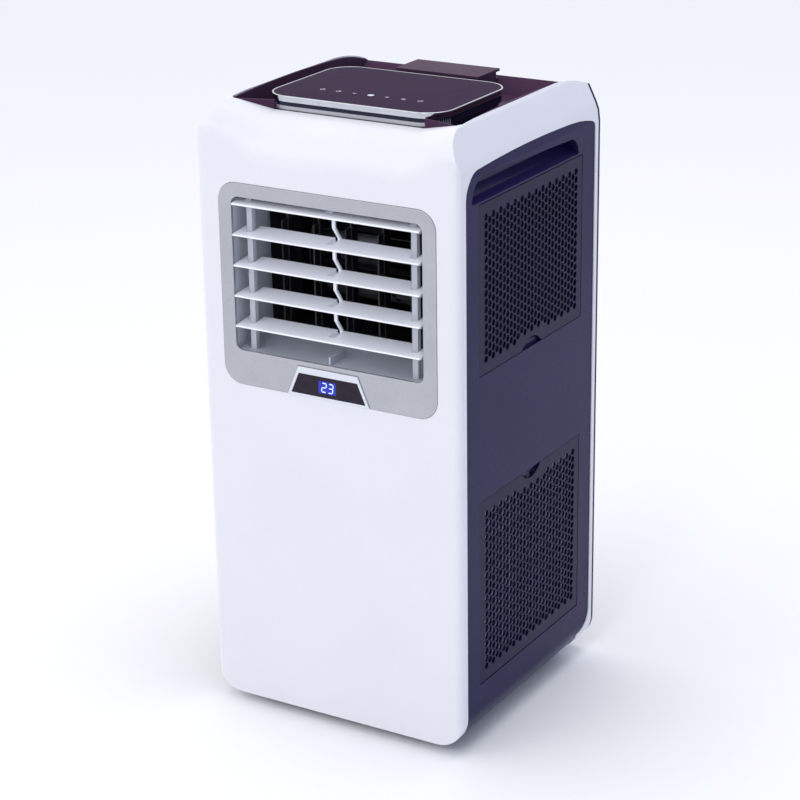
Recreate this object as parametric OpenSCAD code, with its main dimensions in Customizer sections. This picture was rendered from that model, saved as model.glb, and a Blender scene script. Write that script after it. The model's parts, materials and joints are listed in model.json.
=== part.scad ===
// Portable air conditioner, free standing on four recessed casters.
// Millimetres. X to the right, Y from the front to the rear, Z up.
// The origin is on the floor, under the middle of the body.

/* [Body] */
// Width of the body across its sides
body_w = 340; // [320:1:420]
// Depth of the body from the front face to the rear face
body_d = 330; // [310:1:400]
// Height of the shoulder crests above the floor
crest_h = 735; // [700:1:900]
// Gap between the floor and the underside of the body
foot_gap = 12; // [10:1:16]
// Wall of the moulded shells
wall = 3; // [2.4:0.2:3.6]
// Gap that shows as a joint line between two fixed mouldings
seam = 0.4; // [0.3:0.1:0.8]
// Radius of the two lower edges that run from front to rear
lower_edge_r = 35; // [30:1:38]
// Radius of the upright front edges
front_edge_r = 10.5; // [8:0.5:12]

/* [Top] */
// How far the middle of the hood lies below the crests
hood_drop = 15; // [12:1:18]
// Half of the distance between the two crests
crest_x = 147; // [140:1:150]
// Height of the band between the crest and the side panel
shoulder_drop = 45; // [42:1:50]
// Width of the control glass
glass_w = 229; // [200:1:236]
// Depth of the control glass
glass_d = 166; // [150:1:168]
// Width of the remote control box
caddy_w = 110; // [90:1:150]
// Depth of the remote control box
caddy_d = 52; // [46:1:56]

/* [Air outlet] */
// Width of the bezel round the outlet
bezel_w = 280; // [270:1:290]
// Height of the bezel
bezel_h = 237; // [232:1:240]
// Width of the opening in the bezel
outlet_w = 246; // [240:1:250]
// Height of the opening in the bezel
outlet_h = 180; // [176:1:184]
// Distance between two louvre blades
louvre_pitch = 35.7; // [35:0.1:36]
// Width of a louvre blade from front to rear
louvre_chord = 33; // [30:1:34]
// How far the louvre blades stand in front of the body
louvre_proud = 4; // [3:0.5:6]

/* [Side covers] */
// Length of a filter cover from front to rear
cover_l = 244; // [220:1:250]
// Height of the upper filter cover
upper_cover_h = 194; // [180:1:200]
// Height of the lower filter cover
lower_cover_h = 224; // [200:1:230]
// Thickness of a filter cover
cover_t = 2.6; // [2.4:0.1:3]
// Width of a hexagonal hole across its flats
hex_flat = 7.6; // [6:0.2:7.8]
// Rib between two hexagonal holes
hex_rib = 1.9; // [1.8:0.1:3]

/* [Rear] */
// Bore of the exhaust hose collar
exhaust_r = 65; // [60:1:66]
// Radius of a caster wheel
wheel_r = 15; // [14:0.5:16]

/* [Hidden] */
$fn = 96;

// Colours
white_abs = [0.95, 0.95, 0.97];
dark_abs = [0.10, 0.08, 0.20];
silver_paint = [0.74, 0.75, 0.77];
inner_abs = [0.80, 0.80, 0.82];
chrome_trim = [0.85, 0.86, 0.88];
black_glass = [0.09, 0.07, 0.12];

// Clearances
fit_gap = 0.05;
cut = 1;

// Overall places
half_w = body_w / 2;
half_d = body_d / 2;
front_y = -half_d;
rear_y = half_d;
hood_z = crest_h - hood_drop;
crown = 4;
rear_fall = 9;
rear_fall_y = 100;
fender_r = 38;
hood_r = 57;
hood_half_w = 96;
panel_inset = 1.2;

// Side panel window in the white housing
window_front_y = front_y + 12;
window_rear_y = rear_y - 12;
window_r = 30;
white_rear_y = rear_y - 5;
top_steps = 16;
arc_steps = 18;

function crest_z(y) =
    crest_h - crown * pow(y / half_d, 2) * 1.7
    - (y > rear_fall_y ? rear_fall * pow((y - rear_fall_y) / (half_d - rear_fall_y), 2) : 0);

function arc_points(cy, cz, r, a0, a1) =
    [for (i = [0 : arc_steps]) let (a = a0 + (a1 - a0) * i / arc_steps) [cy + r * cos(a), cz + r * sin(a)]];

function top_points(y0, y1, drop) =
    [for (i = [0 : top_steps]) let (y = y0 + (y1 - y0) * i / top_steps) [y, crest_z(min(y, half_d)) - drop]];

// Outline from the side, at the shoulders and at the middle, drawn t inside the surface
function fender_side(t, far) = concat(
    [[far, foot_gap + t], [front_y + t, foot_gap + t]],
    arc_points(front_y + fender_r, crest_z(front_y + fender_r) - fender_r, fender_r - t, 180, 90),
    top_points(front_y + fender_r + 4, far, t)
);
function hood_side(t, far) = concat(
    [[far, foot_gap + t], [front_y + t, foot_gap + t]],
    arc_points(front_y + hood_r, hood_z - hood_r, hood_r - t, 180, 90),
    [[far, hood_z - t]]
);

// Rectangle with round corners, about its middle
module round_rect(w, h, r) {
    square([w - 2 * r, h], center = true);
    square([w, h - 2 * r], center = true);
    for (sx = [-1, 1], sy = [-1, 1])
        translate([sx * (w / 2 - r), sy * (h / 2 - r)])
            circle(r = r);
}

// Raise an outline drawn in X and Z along Y
module along_y(y0, y1) {
    translate([0, y1, 0])
        rotate([90, 0, 0])
            linear_extrude(y1 - y0)
                children();
}

// Raise an outline drawn in Y and Z along X
module along_x(x0, x1) {
    translate([x0, 0, 0])
        rotate([90, 0, 90])
            linear_extrude(x1 - x0)
                children();
}

// Raise an outline drawn in X and Y along Z
module along_z(z0, z1) {
    translate([0, 0, z0])
        linear_extrude(z1 - z0)
            children();
}

// Round bar between two heights, or along X or Y
module bar_z(x, y, z0, z1, r) {
    translate([x, y, z0])
        cylinder(h = z1 - z0, r = r);
}
module bar_x(x0, x1, y, z, r) {
    translate([x0, y, z])
        rotate([0, 90, 0])
            cylinder(h = x1 - x0, r = r);
}
module bar_y(x, y0, y1, z, r) {
    translate([x, y1, z])
        rotate([90, 0, 0])
            cylinder(h = y1 - y0, r = r);
}

// Block between two corners
module block(low, high) {
    translate(low)
        cube(high - low);
}

// Outline from the front: round lower edges, sloped shoulders
shoulder_z = crest_h - shoulder_drop;
module front_outline(t) {
    r = lower_edge_r - t;
    intersection() {
        union() {
            translate([-half_w + t, foot_gap + lower_edge_r])
                square([body_w - 2 * t, crest_h]);
            translate([-half_w + lower_edge_r, foot_gap + t])
                square([body_w - 2 * lower_edge_r, crest_h]);
            for (s = [-1, 1])
                translate([s * (half_w - lower_edge_r), foot_gap + lower_edge_r])
                    circle(r = r);
        }
        polygon([
            [-half_w, 0], [half_w, 0], [half_w - t, shoulder_z - 12], [half_w - t * 1.1 - 1.6, shoulder_z + 1],
            [half_w - t * 1.2 - 5.5, shoulder_z + 11], [crest_x + 3.6 - t * 1.1, crest_h - 6 - t * 0.4],
            [crest_x - 1.2 - t, crest_h - 0.9 - t], [crest_x - 5 - t, crest_h - t + 1],
            [-crest_x + 5 + t, crest_h - t + 1], [-crest_x + 1.2 + t, crest_h - 0.9 - t],
            [-crest_x - 3.6 + t * 1.1, crest_h - 6 - t * 0.4], [-half_w + t * 1.2 + 5.5, shoulder_z + 11],
            [-half_w + t * 1.1 + 1.6, shoulder_z + 1], [-half_w + t, shoulder_z - 12]
        ]);
    }
}

// Outline from above: round upright front edges
module plan_outline(t, far) {
    r = front_edge_r;
    translate([-half_w + t, front_y + r])
        square([body_w - 2 * t, far - front_y - r]);
    translate([-half_w + r, front_y + t])
        square([body_w - 2 * r, far - front_y - t]);
    for (s = [-1, 1])
        translate([s * (half_w - r), front_y + r])
            circle(r = r - t);
}

// The whole outer form, drawn t inside the surface
slice = 0.02;
module body_form(t, far) {
    intersection() {
        union() {
            along_x(-hood_half_w, hood_half_w)
                polygon(hood_side(t, far));
            for (s = [-1, 1])
                hull() {
                    translate([s * (hood_half_w - slice), 0, 0])
                        along_x(-slice / 2, slice / 2)
                            polygon(hood_side(t, far));
                    translate([s * (crest_x - 3), 0, 0])
                        along_x(-slice / 2, slice / 2)
                            polygon(fender_side(t, far));
                }
            for (s = [-1, 1])
                translate([s * (crest_x - 3 + half_w + cut) / 2, 0, 0])
                    along_x(-(half_w + cut - crest_x + 3) / 2, (half_w + cut - crest_x + 3) / 2)
                        polygon(fender_side(t, far));
        }
        along_y(front_y - cut, far + cut)
            front_outline(t);
        along_z(0, crest_h + cut)
            plan_outline(t, far + cut);
    }
}

// Side panel outline in Y and Z, grown by g
panel_top_y = window_front_y + window_r;
module panel_outline(g) {
    polygon(concat(
        [[window_front_y - g, -cut]],
        arc_points(panel_top_y, crest_z(panel_top_y) - shoulder_drop - window_r, window_r + g, 180, 92),
        [for (i = [1 : top_steps])
            let (y = panel_top_y + (window_rear_y - 6 - panel_top_y) * i / top_steps)
            [y, crest_z(y) - shoulder_drop + g]],
        [[window_rear_y - 1.5 + g * 0.7, crest_z(window_rear_y) - shoulder_drop - 1.5 + g * 0.7]],
        [[window_rear_y + g, crest_z(window_rear_y) - shoulder_drop - 6], [window_rear_y + g, -cut]]
    ));
}
// Bottom corner that the side panel leaves to the rear housing
heel_r = 28;
heel_z = foot_gap + 52;
module panel_heel(g) {
    difference() {
        translate([window_rear_y - heel_r, foot_gap - cut])
            square([heel_r + cut, heel_z - foot_gap + cut]);
        translate([window_rear_y - heel_r, heel_z])
            circle(r = heel_r + g);
    }
}

// Tray opening from above, with its two front tips
tray_front_y = front_y + 53;
tray_tip_y = front_y + 38;
tray_half_w = crest_x;
module tray_outline(g) {
    polygon([
        [-hood_half_w, tray_front_y - g], [hood_half_w, tray_front_y - g], [tray_half_w - 12, tray_tip_y + 5 - g],
        [tray_half_w - 4, tray_tip_y + 2 - g], [tray_half_w + g, tray_tip_y + 8], [tray_half_w + g, rear_y + cut],
        [-tray_half_w - g, rear_y + cut], [-tray_half_w - g, tray_tip_y + 8], [-tray_half_w + 4, tray_tip_y + 2 - g],
        [-tray_half_w + 12, tray_tip_y + 5 - g]
    ]);
}

// Outlet places
bezel_top = crest_h - 89;
bezel_mid_z = bezel_top - bezel_h / 2;
outlet_top = bezel_top - 16;
outlet_low = outlet_top - outlet_h;
outlet_mid_z = outlet_top - outlet_h / 2;
bezel_r = 23;
bezel_proud = 0.8;
bezel_t = 4;
outlet_r = 9;
blade_room_y = front_y + 36;
duct_neck_y = front_y + 60;
duct_back_y = front_y + 70;
blade_room = 7;
duct_top = outlet_top - 29;
duct_low = outlet_low + 12;
duct_wall = 2;
duct_half_w = outlet_w / 2 - 4;

module front_housing() {
    color(white_abs)
        difference() {
            body_form(0, white_rear_y);
            body_form(wall, rear_y + cut);
            along_x(-half_w - cut, half_w + cut)
                difference() {
                    panel_outline(seam);
                    panel_heel(seam);
                }
            along_z(hood_z - 40, crest_h + cut)
                tray_outline(0);
            along_y(front_y - cut, front_y + 20)
                translate([0, bezel_mid_z])
                    round_rect(bezel_w + 2 * seam, bezel_h + 2 * seam, bezel_r + seam);
            block([-half_w + lower_edge_r, window_rear_y - heel_r - cut, 0],
                [half_w - lower_edge_r, rear_y, foot_gap + 60]);
        }
}

// Handle scoop near the top of a side panel
scoop_top = crest_h - 57;
scoop_low = crest_h - 86;
scoop_front_y = front_y + 27;
scoop_rear_y = rear_y - 53;
scoop_depth = 17;
module scoop_section(g) {
    face = half_w - panel_inset;
    polygon([
        [face + (g > 0 ? -wall / 2 : cut), scoop_low - g * 1.4], [face - scoop_depth * 0.55 - g, scoop_low + 5 - g],
        [face - scoop_depth - g, scoop_low + 14], [face - scoop_depth - g, scoop_top - 5],
        [face - scoop_depth + 4 - g * 0.5, scoop_top + g], [face + (g > 0 ? -wall / 2 : cut), scoop_top + g]
    ]);
}

// Outline of the scoop's mouth: round at both ends, with its top edge falling to the rear
scoop_front_r = 28;
scoop_rear_r = 20;
scoop_fall = 8;
module scoop_mouth() {
    polygon([
        [scoop_front_y, scoop_low - 10],
        for (i = [0 : arc_steps])
            let (a = 180 - 90 * i / arc_steps)
                [scoop_front_y + scoop_front_r, scoop_top - scoop_front_r] + scoop_front_r * [cos(a), sin(a)],
        for (i = [0 : arc_steps])
            let (a = 90 - 90 * i / arc_steps)
                [scoop_rear_y - scoop_rear_r, scoop_top - scoop_fall - scoop_rear_r]
                + scoop_rear_r * [cos(a), sin(a)],
        [scoop_rear_y, scoop_low - 10]
    ]);
}

// Covers: places on the side
cover_y = 0;
upper_cover_top = scoop_low - 3;
upper_cover_low = upper_cover_top - upper_cover_h;
lower_cover_low = foot_gap + 66;
lower_cover_top = lower_cover_low + lower_cover_h;
cover_face = half_w - panel_inset - 0.3;
cover_gap = 0.7;
hinge_gap = 1.2;
hinge_in = 2;
hinge_r = 1.2;
hinge_x = cover_face - cover_t / 2;
ear_l = 6;
flange_x = cover_face - cover_t - 1.4;
flange_t = 2.4;
flange_w = 7;
rim_w = 5;

// Screws along the rear
screw_r = 2;
screw_x = half_w - 12;
screw_side_z = [foot_gap + 90, crest_h / 2 + 3, crest_h - 90];
screw_head_r = 4;

// One side panel, drawn on the right
module side_panel_form() {
    difference() {
        union() {
            intersection() {
                difference() {
                    along_y(window_front_y, window_rear_y)
                        front_outline(panel_inset);
                    along_y(window_front_y - cut, window_rear_y + cut)
                        front_outline(panel_inset + wall);
                }
                along_x(half_w - lower_edge_r, half_w + cut)
                    difference() {
                        panel_outline(0);
                        panel_heel(0);
                    }
            }
            along_y(scoop_front_y - wall, scoop_rear_y + wall)
                scoop_section(wall);
            for (c = [[upper_cover_low, upper_cover_top], [lower_cover_low, lower_cover_top]])
                block([flange_x - flange_t, cover_y - cover_l / 2 - rim_w, c[0] - rim_w],
                    [half_w - panel_inset - wall / 2, cover_y + cover_l / 2 + rim_w,
                    min(c[1] + rim_w, scoop_low + 2)]);
            for (z = [upper_cover_top - hinge_in, lower_cover_low + hinge_in], s = [-1, 1])
                block([hinge_x - 4, cover_y + s * (cover_l / 2 + cover_gap + ear_l / 2) - ear_l / 2, z - 4],
                    [half_w - panel_inset - wall / 2, cover_y + s * (cover_l / 2 + cover_gap + ear_l / 2) + ear_l / 2,
                    z + 4]);
            for (z = screw_side_z)
                bar_y(screw_x, white_rear_y - 16, white_rear_y - 0.6, z, 5);
            for (z = screw_side_z)
                block([screw_x - 3, white_rear_y - 16, z - 1.5],
                    [half_w - panel_inset - wall / 2, window_rear_y, z + 1.5]);
        }
        intersection() {
            along_y(scoop_front_y, scoop_rear_y)
                scoop_section(0);
            along_x(0, half_w + 2 * cut)
                scoop_mouth();
        }
        block([flange_x, cover_y - cover_l / 2 - cover_gap, upper_cover_low - cover_gap],
            [half_w + cut, cover_y + cover_l / 2 + cover_gap, upper_cover_top + hinge_gap]);
        block([flange_x, cover_y - cover_l / 2 - cover_gap, lower_cover_low - hinge_gap],
            [half_w + cut, cover_y + cover_l / 2 + cover_gap, lower_cover_top + cover_gap]);
        for (c = [[upper_cover_low, upper_cover_top], [lower_cover_low, lower_cover_top]])
            block([flange_x - flange_t - 30, cover_y - cover_l / 2 + flange_w, c[0] + flange_w],
                [half_w, cover_y + cover_l / 2 - flange_w, c[1] - flange_w]);
        for (z = [upper_cover_top - hinge_in, lower_cover_low + hinge_in])
            bar_x_hinge(z, hinge_r + fit_gap, ear_l);
        for (z = screw_side_z)
            bar_y(screw_x, white_rear_y - 20, rear_y, z, screw_r + fit_gap);
    }
}
// Two coaxial pins, or their bores, at the ends of a cover
module bar_x_hinge(z, r, l) {
    for (s = [-1, 1])
        bar_y(hinge_x, cover_y + s * (cover_l / 2 + l / 2) - l / 2 - cut / 2,
            cover_y + s * (cover_l / 2 + l / 2) + l / 2 + cut / 2, z, r);
}

module side_panel_right() {
    color(dark_abs)
        side_panel_form();
}
module side_panel_left() {
    color(dark_abs)
        mirror([1, 0, 0])
            side_panel_form();
}

// Filter cover with hexagonal holes, drawn on the right between two heights
hex_pitch = hex_flat + hex_rib;
hex_column = hex_pitch * cos(30);
hex_margin = 9;
notch_w = 23;
notch_d = 11;
notch_circle = (notch_w * notch_w + notch_d * notch_d) / (2 * notch_d);
module hex_field(l, h, notch_top) {
    columns = floor((l - 2 * hex_margin) / hex_column);
    rows = floor((h - 2 * hex_margin) / hex_pitch);
    notch_z = notch_top ? h / 2 : -h / 2;
    for (i = [0 : columns - 1])
        for (j = [0 : rows - 1 - (i % 2)])
            let (y = (i - (columns - 1) / 2) * hex_column, z = (j - (rows - 1) / 2 + (i % 2) / 2) * hex_pitch)
                if (abs(y) > notch_w + 6 || abs(z - notch_z) > notch_d + 9)
                    translate([y, z])
                        circle(r = hex_flat / sqrt(3), $fn = 6);
}
module cover_form(z0, h, notch_top) {
    z_hinge = notch_top ? z0 + hinge_in : z0 + h - hinge_in;
    notch_z = notch_top ? z0 + h - notch_d + notch_circle : z0 + notch_d - notch_circle;
    difference() {
        along_x(cover_face - cover_t, cover_face)
            difference() {
                translate([cover_y, z0 + h / 2])
                    square([cover_l, h], center = true);
                translate([cover_y, notch_z])
                    circle(r = notch_circle);
                translate([cover_y, z0 + h / 2])
                    hex_field(cover_l, h, notch_top);
            }
    }
    for (s = [-1, 1])
        translate([0, cover_y + s * (cover_l / 2 + 1.5), 0])
            bar_y(hinge_x, -2.5, 2.5, z_hinge, hinge_r);
}
module upper_cover_right() {
    color(dark_abs)
        cover_form(upper_cover_low, upper_cover_h, false);
}
module upper_cover_left() {
    color(dark_abs)
        mirror([1, 0, 0])
            cover_form(upper_cover_low, upper_cover_h, false);
}
module lower_cover_right() {
    color(dark_abs)
        cover_form(lower_cover_low, lower_cover_h, true);
}
module lower_cover_left() {
    color(dark_abs)
        mirror([1, 0, 0])
            cover_form(lower_cover_low, lower_cover_h, true);
}

// Filter screens behind the covers: a frame with a thin net
filter_t = 3;
filter_x = flange_x - flange_t - filter_t - 0.5;
module filter_pair(z0, h) {
    l = cover_l - 2;
    for (s = [-1, 1])
        translate([s * (filter_x + filter_t / 2), 0, 0])
            union() {
                along_x(-filter_t / 2, filter_t / 2)
                    translate([cover_y, z0 + h / 2])
                        difference() {
                            square([l, h - 2], center = true);
                            square([l - 16, h - 18], center = true);
                        }
                along_x(-0.4, 0.4)
                    translate([cover_y, z0 + h / 2])
                        square([l - 8, h - 10], center = true);
            }
}
module upper_filters() {
    color([0.55, 0.57, 0.62])
        filter_pair(upper_cover_low, upper_cover_h);
}
module lower_filters() {
    color([0.55, 0.57, 0.62])
        filter_pair(lower_cover_low, lower_cover_h);
}

// Rear housing: a pan with the exhaust hole, vents, drain and cord holes
exhaust_z = 368;
drain_z = foot_gap + 42;
drain_x = -60;
drain_r = 9;
inlet_x = 105;
inlet_z = foot_gap + 60;
inlet_r = 9;
rear_step = 0.3;
vent_l = 150;
vent_h = 5;
vent_pitch = 12;
module rear_housing() {
    color(dark_abs)
        difference() {
            union() {
                intersection() {
                    along_y(white_rear_y + seam, rear_y)
                        front_outline(rear_step);
                    along_x(-half_w - cut, half_w + cut)
                        polygon(fender_side(rear_step, rear_y));
                }
            }
            intersection() {
                along_y(white_rear_y - cut, rear_y - wall)
                    front_outline(wall + rear_step);
                along_x(-half_w - cut, half_w + cut)
                    polygon(fender_side(wall + rear_step, rear_y));
            }
            along_z(tray_floor - wall - 6, crest_h + cut)
                square([2 * (tray_half_w + seam), 3 * body_d], center = true);
            bar_y(0, rear_y - 10, rear_y + cut, exhaust_z, exhaust_r + 5 + seam);
            bar_y(drain_x, rear_y - 10, rear_y + cut, drain_z, drain_r + fit_gap);
            bar_y(inlet_x, rear_y - 10, rear_y + cut, inlet_z, inlet_r + fit_gap);
            for (z = screw_side_z, s = [-1, 1])
                bar_y(s * screw_x, rear_y - 10, rear_y + cut, z, screw_r + fit_gap);
            for (i = [0 : 9])
                block([-vent_l / 2, rear_y - 10, foot_gap + 110 + i * vent_pitch],
                    [vent_l / 2, rear_y + cut, foot_gap + 110 + i * vent_pitch + vent_h]);
        }
}

module exhaust_collar() {
    color([0.16, 0.16, 0.18])
        difference() {
            union() {
                bar_y(0, rear_y - 12, rear_y + louvre_proud, exhaust_z, exhaust_r + 5);
                bar_y(0, rear_y - 12, rear_y - 8, exhaust_z, exhaust_r + 10);
                for (a = [45 : 90 : 315])
                    translate([(exhaust_r + 7) * cos(a), 0, exhaust_z + (exhaust_r + 7) * sin(a)])
                        block([-5, rear_y - 10, -5], [5, rear_y - wall - 0.6, 5]);
            }
            bar_y(0, rear_y - 20, rear_y + 20, exhaust_z, exhaust_r);
        }
}

module drain_plug() {
    color([0.12, 0.12, 0.13])
        union() {
            bar_y(drain_x, rear_y - 14, rear_y + seam, drain_z, drain_r - 1);
            bar_y(drain_x, rear_y + seam, rear_y + 3, drain_z, drain_r + 3);
            bar_y(drain_x, rear_y - 12, rear_y - 4, drain_z, drain_r - 0.4);
        }
}

module cord_inlet() {
    color([0.12, 0.12, 0.13])
        difference() {
            union() {
                bar_y(inlet_x, rear_y - 10, rear_y + seam, inlet_z, inlet_r);
                bar_y(inlet_x, rear_y + seam, rear_y + 3, inlet_z, inlet_r + 3);
                bar_y(inlet_x, rear_y - 8, rear_y - wall - 0.4, inlet_z, inlet_r + 3);
            }
            bar_y(inlet_x, rear_y - 20, rear_y + 20, inlet_z, 3.6);
        }
}

module housing_screws() {
    color([0.6, 0.6, 0.62])
        for (z = screw_side_z, s = [-1, 1])
            difference() {
                union() {
                    bar_y(s * screw_x, rear_y - 16, rear_y + cut, z, screw_r);
                    bar_y(s * screw_x, rear_y + fit_gap, rear_y + 2.2, z, screw_head_r);
                }
                for (a = [0, 90])
                    translate([s * screw_x, rear_y + 2.2, z])
                        rotate([0, a, 0])
                            cube([4.6, 2.4, 0.9], center = true);
            }
}

// Tray between the crests, with a land round the plinth and a basin behind it
glass_top = crest_h + 1;
glass_t = 3;
glass_r = 32;
glass_front_y = tray_front_y + 1;
glass_rear_y = glass_front_y + glass_d;
glass_mid_y = (glass_front_y + glass_rear_y) / 2;
rim_h = 7;
rim_t = 2;
tray_land = crest_h - 23;
tray_floor = crest_h - 35;
land_rear_y = glass_rear_y + 8;
basin_rear_y = rear_y - 24;
ridge_y = rear_y - 8;
caddy_front_y = front_y + 246;
caddy_rear_y = caddy_front_y + caddy_d;
caddy_depth = 60;
module tray_section(t) {
    polygon([
        [tray_tip_y - 20, tray_land - t], [land_rear_y - t, tray_land - t], [land_rear_y + 3 - t, tray_floor - t],
        [basin_rear_y + t * 0.4, tray_floor - t], [ridge_y + t * 0.6, crest_z(ridge_y) - 8 - t],
        [rear_y - 1, crest_z(rear_y) - 2 - t],
        [rear_y - 1, crest_h + 20], [tray_tip_y - 20, crest_h + 20]
    ]);
}
plinth_hole_w = 120;
plinth_hole_d = 70;
plinth_lip = 24;
module top_cover() {
    color(dark_abs)
        difference() {
            intersection() {
                along_z(tray_floor - wall, crest_h + cut)
                    tray_outline(-seam);
                along_x(-half_w, half_w)
                    polygon(fender_side(1.5, rear_y - 1));
                along_x(-half_w, half_w)
                    tray_section(wall);
            }
            intersection() {
                along_z(0, crest_h + 2 * cut)
                    tray_outline(-seam - 2.4);
                along_x(-half_w, half_w)
                    tray_section(0);
            }
            block([-hood_half_w - seam, tray_front_y - 30, hood_z - 4],
                [hood_half_w + seam, tray_front_y + plinth_lip + seam, crest_h + cut]);
            translate([0, glass_mid_y, 0])
                along_z(tray_floor - 10, crest_h)
                    square([plinth_hole_w, plinth_hole_d], center = true);
            block([-caddy_w / 2 + 1 - seam, caddy_front_y + 1 - seam, tray_floor - 20],
                [caddy_w / 2 - 1 + seam, caddy_rear_y - 1 + seam, crest_h]);
        }
}

// Control panel: plinth, rim, glass and board
module glass_plan(g, r) {
    translate([0, glass_mid_y])
        round_rect(glass_w + 2 * g, glass_d + 2 * g, r);
}
band_inset = 1.2;
foot_inset = 0.5;
module control_plinth() {
    color(silver_paint)
        difference() {
            union() {
                along_z(tray_land + 0.2, hood_z + 1)
                    glass_plan(-5, glass_r - 6);
                along_z(hood_z + 0.3, glass_top - rim_h - 0.4)
                    glass_plan(-band_inset, glass_r - band_inset);
                along_z(hood_z + 0.3, hood_z + 4.3)
                    intersection() {
                        glass_plan(-foot_inset, glass_r - foot_inset);
                        translate([-hood_half_w, tray_front_y])
                            square([2 * hood_half_w, plinth_lip]);
                    }
                along_z(hood_z + 0.3, hood_z + 4.3)
                    translate([-hood_half_w + 6, tray_front_y + 6])
                        square([2 * hood_half_w - 12, 16]);
            }
            along_z(hood_z - 10, crest_h + cut)
                translate([0, glass_mid_y])
                    round_rect(glass_w - 40, glass_d - 40, 20);
        }
}
module control_rim() {
    color(chrome_trim)
        difference() {
            along_z(glass_top - rim_h, glass_top)
                glass_plan(0, glass_r);
            along_z(glass_top - glass_t - fit_gap, glass_top + cut)
                glass_plan(-rim_t, glass_r - rim_t);
            along_z(glass_top - rim_h - cut, glass_top)
                glass_plan(-rim_t - 4, glass_r - rim_t - 4);
        }
}
module control_glass() {
    color(black_glass)
        along_z(glass_top - glass_t, glass_top - 0.1)
            glass_plan(-rim_t - fit_gap, glass_r - rim_t);
}
key_pitch = 21;
key_y = glass_front_y + 47;
module control_board() {
    color([0.1, 0.35, 0.2])
        union() {
            along_z(glass_top - glass_t - 5, glass_top - glass_t - 3.4)
                translate([0, key_y + 12])
                    square([170, 60], center = true);
            for (i = [-3 : 3])
                bar_z(i * key_pitch, key_y, glass_top - glass_t - 3.4, glass_top - glass_t - 0.3, 6);
            block([-14, key_y + 32, glass_top - glass_t - 3.4], [14, key_y + 40, glass_top - glass_t - 0.3]);
        }
}

// Remote control box with a hinged lid
lid_top = crest_h - 2;
lid_t = 3;
lid_hinge_y = caddy_rear_y - 3;
lid_hinge_z = lid_top - lid_t - 2.4;
lid_pin_r = 1.4;
ear_x = caddy_w / 2 - 10;
lug_t = 4;
module remote_caddy() {
    tub_top = lid_top - lid_t - 0.5;
    color(dark_abs)
        difference() {
            union() {
                block([-caddy_w / 2 + 1, caddy_front_y + 1, tray_floor - caddy_depth],
                    [caddy_w / 2 - 1, caddy_rear_y - 1, tub_top - 7]);
                block([-caddy_w / 2 + 1, caddy_front_y + 5, tray_floor - caddy_depth],
                    [caddy_w / 2 - 1, caddy_rear_y - 7, tub_top]);
                for (s = [-1, 1])
                    translate([s * ear_x, 0, 0])
                        block([-lug_t / 2, lid_hinge_y - 4.5, tub_top - 8],
                            [lug_t / 2, lid_hinge_y + 1.6, tub_top - 0.3]);
            }
            block([-caddy_w / 2 + 4, caddy_front_y + 8, tray_floor - caddy_depth + wall],
                [caddy_w / 2 - 4, caddy_rear_y - 10, crest_h]);
            for (s = [-1, 1])
                bar_x(s * ear_x - lug_t, s * ear_x + lug_t, lid_hinge_y, lid_hinge_z, lid_pin_r + fit_gap);
        }
}
module caddy_lid() {
    lug_x = ear_x - lug_t - 0.4;
    color(dark_abs)
        union() {
            block([-caddy_w / 2, caddy_front_y, lid_top - lid_t], [caddy_w / 2, caddy_rear_y, lid_top]);
            for (s = [-1, 1]) {
                translate([s * lug_x, 0, 0])
                    block([-lug_t / 2, lid_hinge_y - 2.2, lid_hinge_z - 2],
                        [lug_t / 2, lid_hinge_y + 2.2, lid_top - 1]);
                bar_x(s * (lug_x + 2.7) - 5, s * (lug_x + 2.7) + 5, lid_hinge_y, lid_hinge_z, lid_pin_r);
            }
        }
}

display_low = bezel_top - bezel_h;
display_h = 35;
display_low_w = 108;
display_top_w = 78;
display_proud = 1.4;
module display_plan(g, z0, z1) {
    side = (display_low_w - display_top_w) / 2 / display_h;
    polygon([
        [-display_low_w / 2 - g + side * z0, display_low + z0], [display_low_w / 2 + g - side * z0, display_low + z0],
        [display_low_w / 2 + g - side * z1, display_low + z1], [-display_low_w / 2 - g + side * z1, display_low + z1]
    ]);
}
bezel_back_y = front_y - bezel_proud + bezel_t;
module outlet_bezel() {
    color(silver_paint)
        difference() {
            along_y(front_y - bezel_proud, bezel_back_y)
                translate([0, bezel_mid_z])
                    round_rect(bezel_w, bezel_h, bezel_r);
            along_y(front_y - bezel_proud - cut, bezel_back_y + cut)
                translate([0, outlet_mid_z])
                    round_rect(outlet_w, outlet_h, outlet_r);
            along_y(front_y - bezel_proud - cut, bezel_back_y + cut)
                display_plan(seam, -cut, display_h + seam);
        }
}
module display_frame() {
    face_y = front_y - bezel_proud - display_proud;
    color(silver_paint)
        difference() {
            along_y(face_y, bezel_back_y)
                display_plan(0, 0, display_h);
            along_y(face_y - cut, face_y + 3)
                display_plan(-4, 3, display_h - 8);
        }
}
module display_window() {
    face_y = front_y - bezel_proud - display_proud;
    color(black_glass)
        along_y(face_y + 0.3, face_y + 2.8)
            display_plan(-4.2, 3.2, display_h - 8.2);
}

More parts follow.
